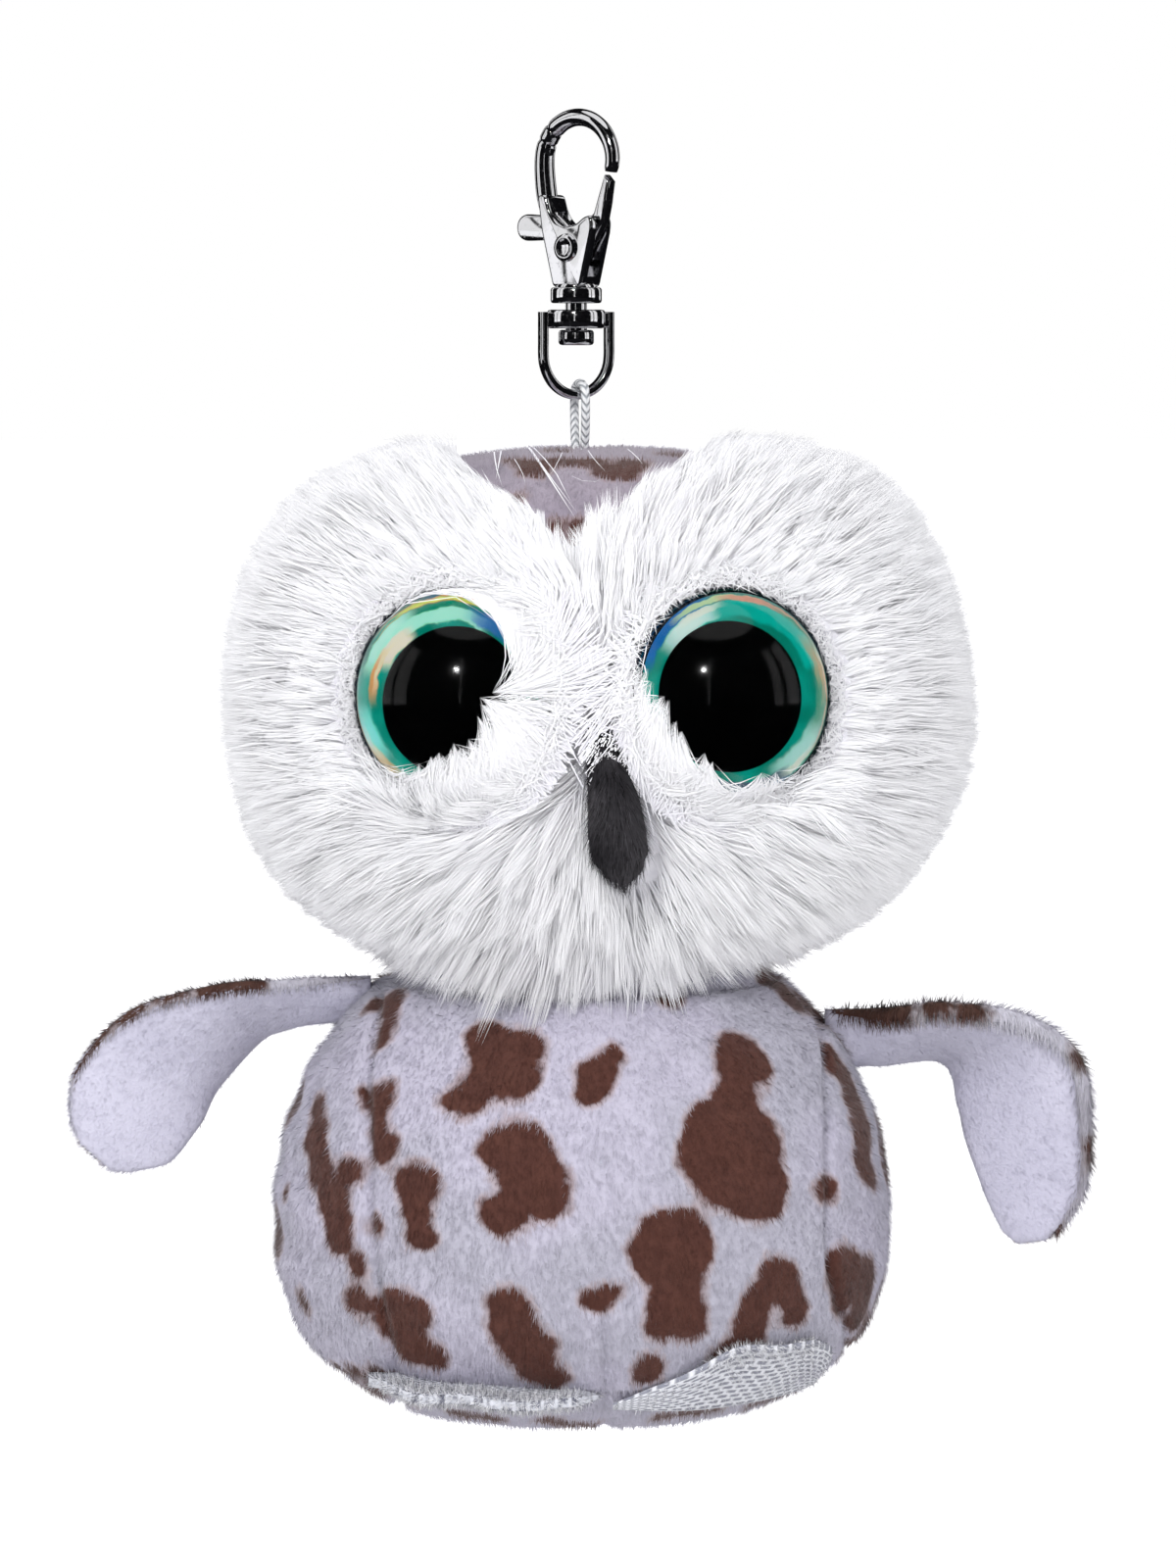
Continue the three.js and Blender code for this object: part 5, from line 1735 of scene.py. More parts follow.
        roll = rng.uniform(-0.3, 0.3, count)[:, None]
        sides = unit(sides * np.cos(roll) + np.cross(travel, sides) * np.sin(roll))
        widths = rng.uniform(0.09, 0.14, count)
        widths[-len(self.strays):] = [stray[3] for stray in self.strays]
        tone = np.abs(rng.normal(0, 0.1, self.clumps))[owner] * 0.5 + np.abs(rng.normal(0, 0.05, count))
        facing = unit(normals + rng.normal(0, 0.07, (count, 3)))
        world = lines + np.array(TOY_PLACE.translation)
        part = (points[:, 0] > 1).astype(int) + 2 * np.digitize(points[:, 2], (60, 78))
        for index in range(6):
            name = f"{('chin', 'cheek', 'brow')[index // 2]}_fur_{('left', 'right')[index % 2]}"
            chosen = part == index
            log.info("%s has %d strands", name, int(chosen.sum()))
            mesh = ribbons(
                name, world[chosen], sides[chosen], widths[chosen], {"tone": np.clip(tone[chosen], 0, 0.8)},
                facing[chosen],
            )
            dress(mesh, name, "toy", FUR)

    def lengths(self, points: np.ndarray, eyes: list["OwlEye"]) -> np.ndarray:
        """How long the pile is at each root.

        Args:
            points: the roots.
            eyes: the two eyes, round which it is cut shorter.

        Returns:
            The lengths.
        """
        long = np.full(len(points), self.length)
        for eye in eyes:
            away, angle = eye.polar(points)
            outer = np.cos(angle - math.radians(90 - 55 * eye.side.value))
            near = smooth(away, 17.0, 10.6) * smooth(outer, -0.2, 0.5)
            long *= 1 - 0.52 * near
        long *= 1 + 0.75 * self.chin(points)
        bridge = smooth(np.abs(points[:, 0] - 1.5), 4.5, 2.0) * smooth(np.abs(points[:, 2] - 74), 9.0, 4.0)
        return long * (1 - 0.25 * bridge)

    @staticmethod
    def chin(points: np.ndarray) -> np.ndarray:
        """How much each root belongs to the long chin, from 0 to 1."""
        return smooth(points[:, 2], 57.0, 50.0) * smooth(np.abs(points[:, 0] + 1.5), 14.0, 8.0)

    @staticmethod
    def fluff(points: np.ndarray) -> np.ndarray:
        """How much each root belongs to the soft cheeks, where the pile stands up, from 0 to 1."""
        return smooth(np.abs(points[:, 0] - 1.5), 8.0, 20.0) * smooth(points[:, 2], 50.0, 60.0)

    def lines(
        self, points: np.ndarray, normals: np.ndarray, long: np.ndarray, turn: np.ndarray, lift: np.ndarray,
        eyes: list["OwlEye"],
    ) -> np.ndarray:
        """The strands' own lines: up from the cloth, then laid along the comb.

        Args:
            points: the roots.
            normals: the cloth's outward directions.
            long: each strand's length.
            turn: each one's turn about its normal, in radians.
            lift: each one's extra lift, in radians.
            eyes: the two eyes, whose covered rims the fur leans over.

        Returns:
            The points along each strand.
        """
        comb = unit(points - np.array(self.comb_from))
        for eye in eyes:
            over = eye.covering(points)
            inward = unit(np.array(eye.place.translation) - points)
            comb = comb * (1 - over)[:, None] + inward * over[:, None]
            lift = lift + 0.5 * over
        comb = unit(comb - normals * np.sum(comb * normals, axis=1)[:, None])
        cross = np.cross(normals, comb)
        comb = comb * np.cos(turn)[:, None] + cross * np.sin(turn)[:, None]
        lines = np.empty((len(points), self.stations, 3))
        lines[:, 0] = points - normals * 0.3
        step = long[:, None] / (self.stations - 1)
        lift = lift + 0.34 * self.fluff(points) * np.minimum.reduce(
            [smooth(eye.polar(points)[0], 12.0, 18.0) for eye in eyes])
        drop = (0.12 + 0.5 * self.chin(points))[:, None]
        for k in range(1, self.stations):
            share = (k - 0.5) / (self.stations - 1)
            angle = (0.62 * (1 - share) + 0.2 * share + lift)[:, None]
            hang = np.array([0, 0, -1.0]) * drop * share
            heading = unit(comb * np.cos(angle) + normals * np.sin(angle) + hang)
            lines[:, k] = lines[:, k - 1] + heading * step
        return lines

    def within(self, lines: np.ndarray, margin: np.ndarray) -> np.ndarray:
        """Shortens the strands that would pass the fur's outline as the picture shows it.

        Args:
            lines: the strands.
            margin: how far each may pass the outline.

        Returns:
            The strands, the long ones cut.
        """
        rim = np.array(self.outline) - self.middle
        aims, reaches = np.arctan2(rim[:, 1], rim[:, 0]), np.hypot(rim[:, 0], rim[:, 1])
        seen = self.studio.seen_at(lines + np.array(TOY_PLACE.translation)) - self.middle
        away = np.hypot(seen[..., 0], seen[..., 1])
        limit = np.interp(np.arctan2(seen[:, -1, 1], seen[:, -1, 0]), aims, reaches, period=math.tau)
        chin = smooth(seen[:, -1, 1], -24.0, -29.0)
        limit += margin * (1 + 1.4 * chin) + 0.8 * chin
        share = np.clip((limit - away[:, 0]) / np.maximum(away[:, -1] - away[:, 0], 0.01), 0.08, 1)
        share = np.where(away[:, -1] > limit, share, 1.0)[:, None, None]
        return lines[:, :1] + (lines - lines[:, :1]) * share

    def stray_lines(self) -> tuple[np.ndarray, np.ndarray]:
        """The few long loose fibres that lie across the crown.

        Returns:
            Their lines and their outward directions.
        """
        lines = []
        for *stops, _ in self.strays:
            route = Route([(x, -HEAD.front(x - HEAD.side, z) - 0.9, z + 0.4) for x, z in stops])
            lines.append(route.even(self.stations))
        return np.array(lines), np.tile(unit(np.array((0.0, -0.6, 0.8))), (len(lines), 1))

    def over_beak(self, points: np.ndarray, margin: np.ndarray | float) -> np.ndarray:
        """Which points the picture shows in front of the felt beak.

        Args:
            points: the points, in the owl's frame.
            margin: how far inside the beak's edges a point must lie.

        Returns:
            True for each point over the beak.
        """
        seen = self.studio.seen_at(points + np.array(TOY_PLACE.translation))
        up, left, right = np.array(self.beak_edges).T
        after = seen[..., 0] > np.interp(seen[..., 1], up, left, left=99, right=99) + margin
        return after & (seen[..., 0] < np.interp(seen[..., 1], up, right, left=-99, right=-99) - margin)

    def clear_beak(self, lines: np.ndarray, margin: np.ndarray) -> np.ndarray:
        """Shortens the strands that would hide the beak.

        Args:
            lines: the strands.
            margin: how far each may pass the beak's edge.

        Returns:
            The strands, the long ones cut.
        """
        inside = self.over_beak(lines, margin[:, None])
        first = np.where(inside.any(axis=1), inside.argmax(axis=1), lines.shape[1])
        share = np.clip((first - 0.6) / (lines.shape[1] - 1), 0.05, 1)[:, None, None]
        return lines[:, :1] + (lines - lines[:, :1]) * share

    def clear_crown(self, lines: np.ndarray, margin: np.ndarray) -> np.ndarray:
        """Shortens the strands that would hide the crown's spotted wedge.

        Args:
            lines: the strands.
            margin: how far each may pass the wedge's edge.

        Returns:
            The strands, the long ones pulled back.
        """
        across, up = np.array(self.brow).T
        edge = np.interp(lines[..., 0], across, up, left=200, right=200)
        over = lines[..., 2] - edge - margin[:, None]
        inside = (over > 0) & (lines[..., 1] < 2)
        first = np.where(inside.any(axis=1), inside.argmax(axis=1), lines.shape[1])
        share = np.clip((first - 0.5) / (lines.shape[1] - 1), 0.12, 1)[:, None, None]
        return lines[:, :1] + (lines - lines[:, :1]) * share


@dataclass
class OwlEye:
    """One plastic eye: clear dome, black pupil, iridescent foil and a dark cup."""

    side: Side
    radius: float = 10.3
    dome: float = 7.0
    rim: float = 1.7
    clear_shape: tuple = ()
    arcs: tuple = ()
    pupil_shift: tuple[float, float] = (0.0, 0.0)
    slant_shape: tuple = ()
    tuft_count: int = 3600

    @property
    def place(self) -> Matrix:
        """The eye's own frame in the owl's: its axis looks out of the face."""
        sign = self.side.value
        turn = Matrix.Rotation(math.radians(22 * sign), 4, "Z") @ Matrix.Rotation(math.radians(84), 4, "X")
        return Matrix.Translation((HEAD.side + sign * 13.1, -HEAD.front(13.1, 75.1), 75.1)) @ turn

    @staticmethod
    def seen(points: np.ndarray) -> np.ndarray:
        """Directions or offsets as they stand in the picture, across and up."""
        lift = math.radians(Studio.elevation)
        up = points[..., 2] * math.cos(lift) + points[..., 1] * math.sin(lift)
        return np.stack([points[..., 0], up], axis=-1)

    def polar(self, points: np.ndarray) -> tuple[np.ndarray, np.ndarray]:
        """How far points are seen from the middle of the eye's rim, and at what angle round it."""
        away = self.seen(points - np.array(self.place @ Vector((0, 0, self.rim))))
        return np.hypot(away[..., 0], away[..., 1]), np.arctan2(away[..., 1], away[..., 0])

    def height(self, away: np.ndarray) -> np.ndarray:
        """How high the dome stands over its rim, at distances from its axis."""
        sphere = (self.radius**2 + self.dome**2) / (2 * self.dome)
        return np.maximum(self.dome - sphere + np.sqrt(np.maximum(sphere**2 - away**2, 0)), 0)

    def under(self, seen: np.ndarray) -> np.ndarray:
        """The places on the dome, in the eye's own frame, that are seen at given places.

        Args:
            seen: places in the picture, across and up from the middle of the rim.

        Returns:
            Two numbers for each place, across and up in the eye's own frame.
        """
        turn = np.array(self.place.to_3x3())
        flat = seen.copy()
        for _ in range(30):
            out = np.column_stack([flat, self.height(np.hypot(*flat.T))]) @ turn.T
            flat = flat + (seen - self.seen(out)) * 0.7
        return flat

    def edge(self, angle: np.ndarray) -> np.ndarray:
        """How far out the eye shows, at angles round it."""
        aims, reaches = np.radians([a for a, _ in self.clear_shape]), [r for _, r in self.clear_shape]
        return np.interp(angle, aims, reaches, period=math.tau)

    def covering(self, points: np.ndarray) -> np.ndarray:
        """How much the fur at each root leans over the eye, from 0 to 1."""
        away, angle = self.polar(points)
        return smooth(away, 15.5, 11.0) * smooth(self.edge(angle), 9.8, 7.6)

    def clear(self, lines: np.ndarray, margin: np.ndarray) -> np.ndarray:
        """Keeps the strands off the part of the eye that shows, and over its dome elsewhere.

        Args:
            lines: the strands.
            margin: how far each may pass the clear part's edge.

        Returns:
            The strands, pulled back or lifted.
        """
        away, angle = self.polar(lines)
        rim = 1 / np.hypot(np.cos(angle) / 9.75, np.sin(angle) / 10.4)
        inside = away < np.minimum(self.edge(angle), rim) + margin[:, None] * 0.5
        inside[:, 0] = False
        first = np.where(inside.any(axis=1), inside.argmax(axis=1), lines.shape[1])
        share = np.clip((first - 0.6) / (lines.shape[1] - 1), 0.1, 1)[:, None, None]
        lines = lines[:, :1] + (lines - lines[:, :1]) * share
        sphere = (self.radius**2 + self.dome**2) / (2 * self.dome)
        middle = np.array(self.place @ Vector((0, 0, self.rim + self.dome - sphere)))
        out = lines - middle
        far = np.linalg.norm(out, axis=-1, keepdims=True)
        near = np.linalg.norm(lines - np.array(self.place.translation), axis=-1, keepdims=True) < 16
        pushed = middle + out / far * (sphere + 0.25)
        past_root = np.arange(lines.shape[1])[None, :, None] > 0
        return np.where(near & (far < sphere + 0.25) & past_root, pushed, lines)

    def tufts(self, rng: np.random.Generator, stations: int) -> tuple[np.ndarray, np.ndarray]:
        """The tufts that lie over the dome's covered rim, in pointed locks.

        Args:
            rng: the random source.
            stations: the points in each strand.

        Returns:
            The strands' lines and their outward directions, in the owl's frame.
        """
        locks, many = 150, self.tuft_count
        aims = np.linspace(0, math.tau, locks, endpoint=False) + rng.uniform(-0.03, 0.03, locks)
        turns, slants = np.array(self.slant_shape).T
        slants = np.interp(aims, np.radians(turns), slants, period=math.tau) + rng.normal(0, 0.12, locks)
        extras = rng.uniform(-0.9, 1.4, locks)
        cover = smooth(self.edge(aims), 10.0, 8.9)
        lock = rng.choice(locks, size=many, p=cover / cover.sum())
        deep = np.where(np.sin(aims[lock]) > -0.15, 6.5, 3.6)
        start = 10.2 + rng.uniform(0, 1, many) ** 1.4 * deep
        end = np.minimum(self.edge(aims[lock]) + extras[lock] + rng.uniform(0, 2.4, many) ** 1.5 * 0.6, 9.9)
        flat = self.under(np.stack([np.cos(aims[lock]), np.sin(aims[lock])], axis=1) * end[:, None])
        end, aim_end = np.hypot(*flat.T), np.arctan2(flat[:, 1], flat[:, 0])
        loose = rng.normal(0, 0.32, many) * (rng.random(many) < 0.5)
        aim_start = aim_end - slants[lock] + rng.normal(0, 0.06, many) + loose
        rim = int(many * 0.45)
        inward = rng.random(rim) < 0.6
        rim_start = np.where(inward, rng.uniform(11.3, 14.0, rim), rng.uniform(10.4, 11.6, rim))
        rim_end = np.where(inward, rng.uniform(10.0, 10.9, rim), rim_start + rng.uniform(0.6, 1.8, rim))
        rim_aim = rng.uniform(0, math.tau, rim)
        start, end = np.concatenate([start, rim_start]), np.concatenate([end, rim_end])
        aim_start = np.concatenate([aim_start, rim_aim + rng.normal(0, 0.16, rim)])
        aim_end = np.concatenate([aim_end, rim_aim])
        puff = np.concatenate([rng.uniform(0.0, 0.9, many), rng.uniform(0.2, 0.6, rim)])
        rise = np.concatenate([np.zeros(many), np.where(inward, 0.9, rng.uniform(0.8, 2.0, rim))])
        lines = []
        for share in np.linspace(0, 1, stations):
            away = start + (end - start) * share
            aim = aim_start + (aim_end - aim_start) * share**1.3
            dome = self.rim + self.height(away)
            cloth = 0.9 - 0.28 * np.maximum(away - 10.5, 0) + rise * share
            height = np.where(away < self.radius, np.maximum(dome, cloth), cloth) + 0.25
            height = height + puff * 4 * share * (1 - share)
            lines.append(np.stack([away * np.cos(aim), away * np.sin(aim), height], axis=1))
        lines = np.stack(lines, axis=1)
        outward = unit(lines[:, 1] * (1, 1, 0) * 0.05 + (0, 0, 1))
        turn = self.place.to_3x3().to_4x4()
        return place_points(self.place, lines), place_points(turn, outward)

    def build(self) -> None:
        """Builds the eye's four dressed pieces."""
        word = self.side.word
        sphere = (self.radius**2 + self.dome**2) / (2 * self.dome)
        top = math.asin(self.radius / sphere)
        dome = [(0, self.rim), (self.radius - 0.12, self.rim), (self.radius, self.rim + 0.1)]
        dome += [(sphere * math.sin(a), self.rim + self.dome - sphere * (1 - math.cos(a)))
                 for a in np.linspace(top, 0, 26)[1:]]
        hollow = 2.65
        dome = [(0, hollow), (9.75, hollow), (9.95, hollow - 0.15), (9.95, self.rim)] + dome[1:]
        lens = Piece(f"lens_{word}", "toy", LENS)
        lathe(lens.bm, dome, Vector((0, 0, 1)), 96)
        place = TOY_PLACE @ self.place
        lens.make((f"eye_lens_{word}",), place, crease=50)
        self.disc(f"foil_{word}", self.foil(), 9.85, 1.8, 2.1, (0, 0), (f"eye_foil_{word}",))
        self.disc(f"pupil_{word}", PUPIL, 6.8, 2.2, 2.5, self.pupil_shift, (f"eye_pupil_{word}",))
        cup = Piece(f"cup_{word}", "toy", CUP)
        bowl = [
            (0, -0.1), (9.6, -0.1), (10.35, 0.25), (10.62, 0.9), (10.62, 1.75), (10.5, 1.95), (10.36, 1.75),
            (10.3, 1.6), (0, 1.6),
        ]
        lathe(cup.bm, bowl, Vector((0, 0, 1)), 96)
        lathe(cup.bm, [(0, -9), (1.7, -9), (2, -8.6), (2, -0.1), (0, -0.1)], Vector((0, 0, 1)), 24)
        cup.make((f"eye_cup_{word}",), place, crease=50)

    def disc(
        self, name: str, finish: Finish, radius: float, low: float, high: float, shift: tuple[float, float],
        replaces: tuple[str, ...],
    ) -> None:
        """One thin disc of the eye's stack, with a map in millimetres.

        Args:
            name: the piece's name.
            finish: its finish.
            radius: its radius.
            low: its lower face on the eye's axis.
            high: its upper face.
            shift: its middle off the axis.
            replaces: the CAD node it stands for.
        """
        piece = Piece(name, "toy", finish)
        lathe(piece.bm, [(0, low), (radius - 0.04, low), (radius, low + 0.05), (radius, high - 0.05),
                         (radius - 0.04, high), (0, high)], Vector((0, 0, 1)), 96)
        bmesh.ops.translate(piece.bm, verts=piece.bm.verts, vec=(*shift, 0))
        layer = piece.bm.loops.layers.uv.verify()
        for face in piece.bm.faces:
            for loop in face.loops:
                loop[layer].uv = loop.vert.co.xy * (0.955 if radius > 9 else 1)
        piece.make(replaces, TOY_PLACE @ self.place, crease=50)

    def foil(self) -> Iris:
        """This eye's own foil, because its streaks differ from the other's."""
        return Iris(f"iris_foil_{self.side.word}", Slot.FOIL, arcs=self.arcs)


@dataclass
class HeadPlush:
    """The short-pile panels of the head: the crown's wedge and the back."""

    def build(self, prints: SpotPrint) -> None:
        """Builds the crown and the back with their pile."""
        back = Piece("head_back_plush", "toy", SPOTTED)
        bm = back.bm
        HEAD.mesh(bm, 7)
        points, normals = get_points(bm)
        seam = np.exp(-(((points[:, 0] - 1.0) / 0.5) ** 2)) * (points[:, 1] > 0)
        rim = np.exp(-((points[:, 1] / 0.5) ** 2))
        set_points(bm, points - normals * (0.5 * np.maximum(seam, rim))[:, None])
        geom = list(bm.verts) + list(bm.edges) + list(bm.faces)
        bmesh.ops.bisect_plane(bm, geom=geom, plane_co=(0, 0.1, 0), plane_no=(0, -1, 0), clear_outer=True)
        bmesh.ops.holes_fill(bm, edges=[e for e in bm.edges if e.is_boundary], sides=0)
        shell = back.make(("head_back_left", "head_back_right"), TOY_PLACE)
        marks = prints.scattered(HEAD, 5, 520, lambda p: p[1] > 2.5)
        prints.put_on(shell, marks)
        ShortPile().grow(shell, "head_back_pile", "toy", SPOTTED, 41, lambda p: p[:, 1] > 2.4 + 0.3)
        self.crown(prints)

    def crown(self, prints: SpotPrint) -> None:
        """The spotted wedge that runs from the brow over the crown."""
        piece = Piece("crown_plush", "toy", CROWN)
        bm = piece.bm
        HEAD.mesh(bm, 7)
        foot, slope = (-1.2, 0, 88.8), -12.6 / 8.8
        for corner, facing in ((foot, (1, 0, slope)), (foot, (-1, 0, slope)), ((0, -0.05, 0), (0, 1, 0))):
            geom = list(bm.verts) + list(bm.edges) + list(bm.faces)
            bmesh.ops.bisect_plane(bm, geom=geom, plane_co=corner, plane_no=facing, clear_outer=True)
        bmesh.ops.solidify(bm, geom=list(bm.faces), thickness=0.8)
        wedge = piece.make(("crown_gusset",), TOY_PLACE)
        marks = prints.on_form(HEAD, prints.crown)
        prints.put_on(wedge, marks)
        ShortPile(length=0.8, flow=(0, 1, 0.3)).grow(wedge, "crown_pile", "toy", CROWN, 43)


@dataclass
class Beak:
    """The stuffed felt beak, which leans to the viewer's right."""

    top: float = 72.8
    length: float = 16.0
    lean: tuple = (0.1, 0.35, 0.62, 0.76, 1.0)
    proud: tuple = (0.45, 0.72, 0.93, 1.0, 0.9)
    fullness: tuple = (0.28, 0.48, 0.7, 0.87, 0.97, 0.95, 0.2)

    def build(self) -> None:
        """Sweeps the beak and lays its felt fibres."""
        face = HEAD.front(0, self.top)
        route = Route([(1 + 3.4 * lean, -face - 4.6 * proud, self.top - self.length * i / 4)
                       for i, (lean, proud) in enumerate(zip(self.lean, self.proud))])
        stations = 36
        points = np.array([route.at(k / (stations - 1)) for k in range(stations)])
        places = np.linspace(0, 1, len(self.fullness))
        sizes = []
        for k in range(stations):
            share = k / (stations - 1)
            full = float(np.interp(share, places, self.fullness))
            end = math.sqrt(max(1 - ((share - 0.9) / 0.1) ** 2, 0.02)) if share > 0.9 else 1.0
            full = max(full, 0.72 * end) if share > 0.9 else full
            sizes.append((2.4 * full * end, 2.95 * full * end))
        piece = Piece("felt_beak", "toy", FELT)
        sweep(piece.bm, points, sizes, 32, Vector((1, 0, 0)))
        bmesh.ops.smooth_vert(
            piece.bm, verts=piece.bm.verts, factor=0.5, use_axis_x=True, use_axis_y=True, use_axis_z=True,
        )
        beak = piece.make(("beak",), TOY_PLACE)
        paint_value(beak.data, "spot", np.full(len(beak.data.vertices), -4.0))
        paint_value(beak.data, "tone", np.zeros(len(beak.data.vertices)))
        fibres = ShortPile(per_mm2=16, length=1.9, width=0.08, lean=2.8, tone=0.9)
        fibres.grow(beak, "beak_fibres", "toy", FELT, 51)


@dataclass
class Wing:
    """One wing: a spotted outer layer and a pale lining, sewn round their edge."""

    side: Side
    root_height: float
    shares: tuple
    brown: tuple
    roll: float = 0.7
    reach: float = 26.0
    half_chord: float = 7.2

    def root(self) -> tuple[float, float]:
        """Where the wing's root leaves the torso: its distance out and its height."""
        reach = TORSO.half_width * TORSO.fullness(self.root_height)
        lean = (TORSO.half_width / TORSO.rise) ** 2 * (self.root_height - TORSO.centre) / reach
        stand = 3.45 / math.hypot(1, lean)
        return reach + stand, self.root_height + stand * lean

    def build(self, prints: SpotPrint) -> None:
        """Builds both layers with their pile."""
        out, up = self.root()
        self.centres = Route([(out + self.reach * s[0], 0, up + self.reach * s[1]) for s in self.shares])
        self.chords = Route([[part * self.half_chord for part in s[2:]] for s in self.shares])
        word, body = self.side.word, f"wing_{self.side.word}"
        for outer, finish in ((True, SPOTTED), (False, LINING)):
            kind = "outer" if outer else "lining"
            piece = Piece(f"wing_{kind}_plush_{word}", body, finish)
            self.layer(piece.bm, outer)
            made = piece.make((f"wing_{kind}_{word}",), TOY_PLACE, ride=False)
            prints.put_on(made, self.marks() if outer else None)
            flow = (self.side.value * 0.8, 0, -0.5)
            pile = ShortPile(length=0.9 if outer else 0.6, flow=flow, tone=0.09 if outer else 0.05)
            self.hang(pile.grow(
                made, f"wing_{kind}_pile_{word}", body, finish, 61 + self.side.value + 2 * outer, ride=False))
            self.hang(made)
        self.rolled_rim(prints)

    def hang(self, part: bpy.types.Object) -> None:
        """Bakes the part's placing into its mesh; the root's place is looked up but not used."""
        out, up = self.root()
        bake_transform(part)

    def rolled_rim(self, prints: SpotPrint) -> None:
        """The outer cloth's longer pile, rolled over the upper edge to the front."""
        word, body = self.side.word, f"wing_{self.side.word}"
        stops = np.linspace(0.02, 0.93, 46)
        points = np.array([self.centres.at(s) + self.chords.at(s) * 0.94 for s in stops])
        shares = np.linspace(0, 1, len(stops))
        sizes = [(self.roll * min(1, 0.45 + 3 * k, (1.02 - s) * 3),) * 2 for k, s in zip(shares, stops)]
        marks = np.array([(*(self.centres.at(s) + self.chords.at(s) * 1.05), radius)
                          for first, last, radius in self.brown for s in np.arange(first, last, 0.03)])
        points[:, 0] *= self.side.value
        marks[:, 0] *= self.side.value
        piece = Piece(f"wing_rim_plush_{word}", body, RIM)
        sweep(piece.bm, points, sizes, 14, Vector((0, 1, 0)))
        rim = piece.make((), TOY_PLACE, ride=False)
        prints.put_on(rim, marks)
        pile = ShortPile(per_mm2=30, length=2.0 * self.roll, lean=2.4, flow=(0, -0.6, -1), tone=0.2)
        self.hang(pile.grow(rim, f"wing_rim_pile_{word}", body, RIM, 91 + self.side.value, ride=False))
        self.hang(rim)

    def marks(self) -> np.ndarray:
        """The print on the outer layer: brown along its upper edge and in patches.

        Returns:
            Each mark's middle and radius.
        """
        rng = np.random.default_rng(71 + self.side.value)
        marks = []
        for along in np.arange(0.22, 0.99, 0.05):
            edge = any(first < along < last for first, last, _ in self.brown)
            for across in ((0.98, 1.5), (0.25, 1.7), (-0.6, 1.6)):
                if rng.random() < 0.62 if across[0] < 0.9 else not edge:
                    continue
                centre = self.centres.at(along) + self.chords.at(along) * (across[0] + rng.uniform(-0.2, 0.2))
                radius = across[1] * rng.uniform(0.6, 1.25)
                marks.append((self.side.value * centre[0], centre[1], centre[2], radius))
        return np.array(marks)

    def layer(self, bm: bmesh.types.BMesh, outer: bool) -> None:
        """One layer: a block cut fine and bent to the wing's shape.

        Args:
            bm: the mesh to add to.
            outer: whether it is the spotted outer layer.
        """
        bmesh.ops.create_cube(bm, size=1.0)
        for axis, cuts in ((0, 71), (1, 27)):
            edges = [e for e in bm.edges if abs(e.verts[0].co[axis] - e.verts[1].co[axis]) > 0.5]
            bmesh.ops.subdivide_edges(bm, edges=edges, cuts=cuts, use_grid_fill=True)
        for vert in bm.verts:
            along, across = min(max(vert.co.x + 0.5, 0), 1), vert.co.y * 2
            chord = self.chords.at(along)
            normal = unit(np.cross(self.centres.tangent(along), chord))
            full = (3 + (1.8 - 3) * along) / 2
            pinch = math.sqrt(max(1 - abs(across) ** 5, 0)) * math.sqrt(max(1 - along**24, 0))
            crown = 0.12 + (full * (1 - 0.3 * across**2) - 0.12) * pinch
            depth = crown if vert.co.z > 0 else 0.05
            point = self.centres.at(along) + chord * across + normal * (-depth if outer else depth)
            vert.co = (self.side.value * point[0], point[1], point[2])


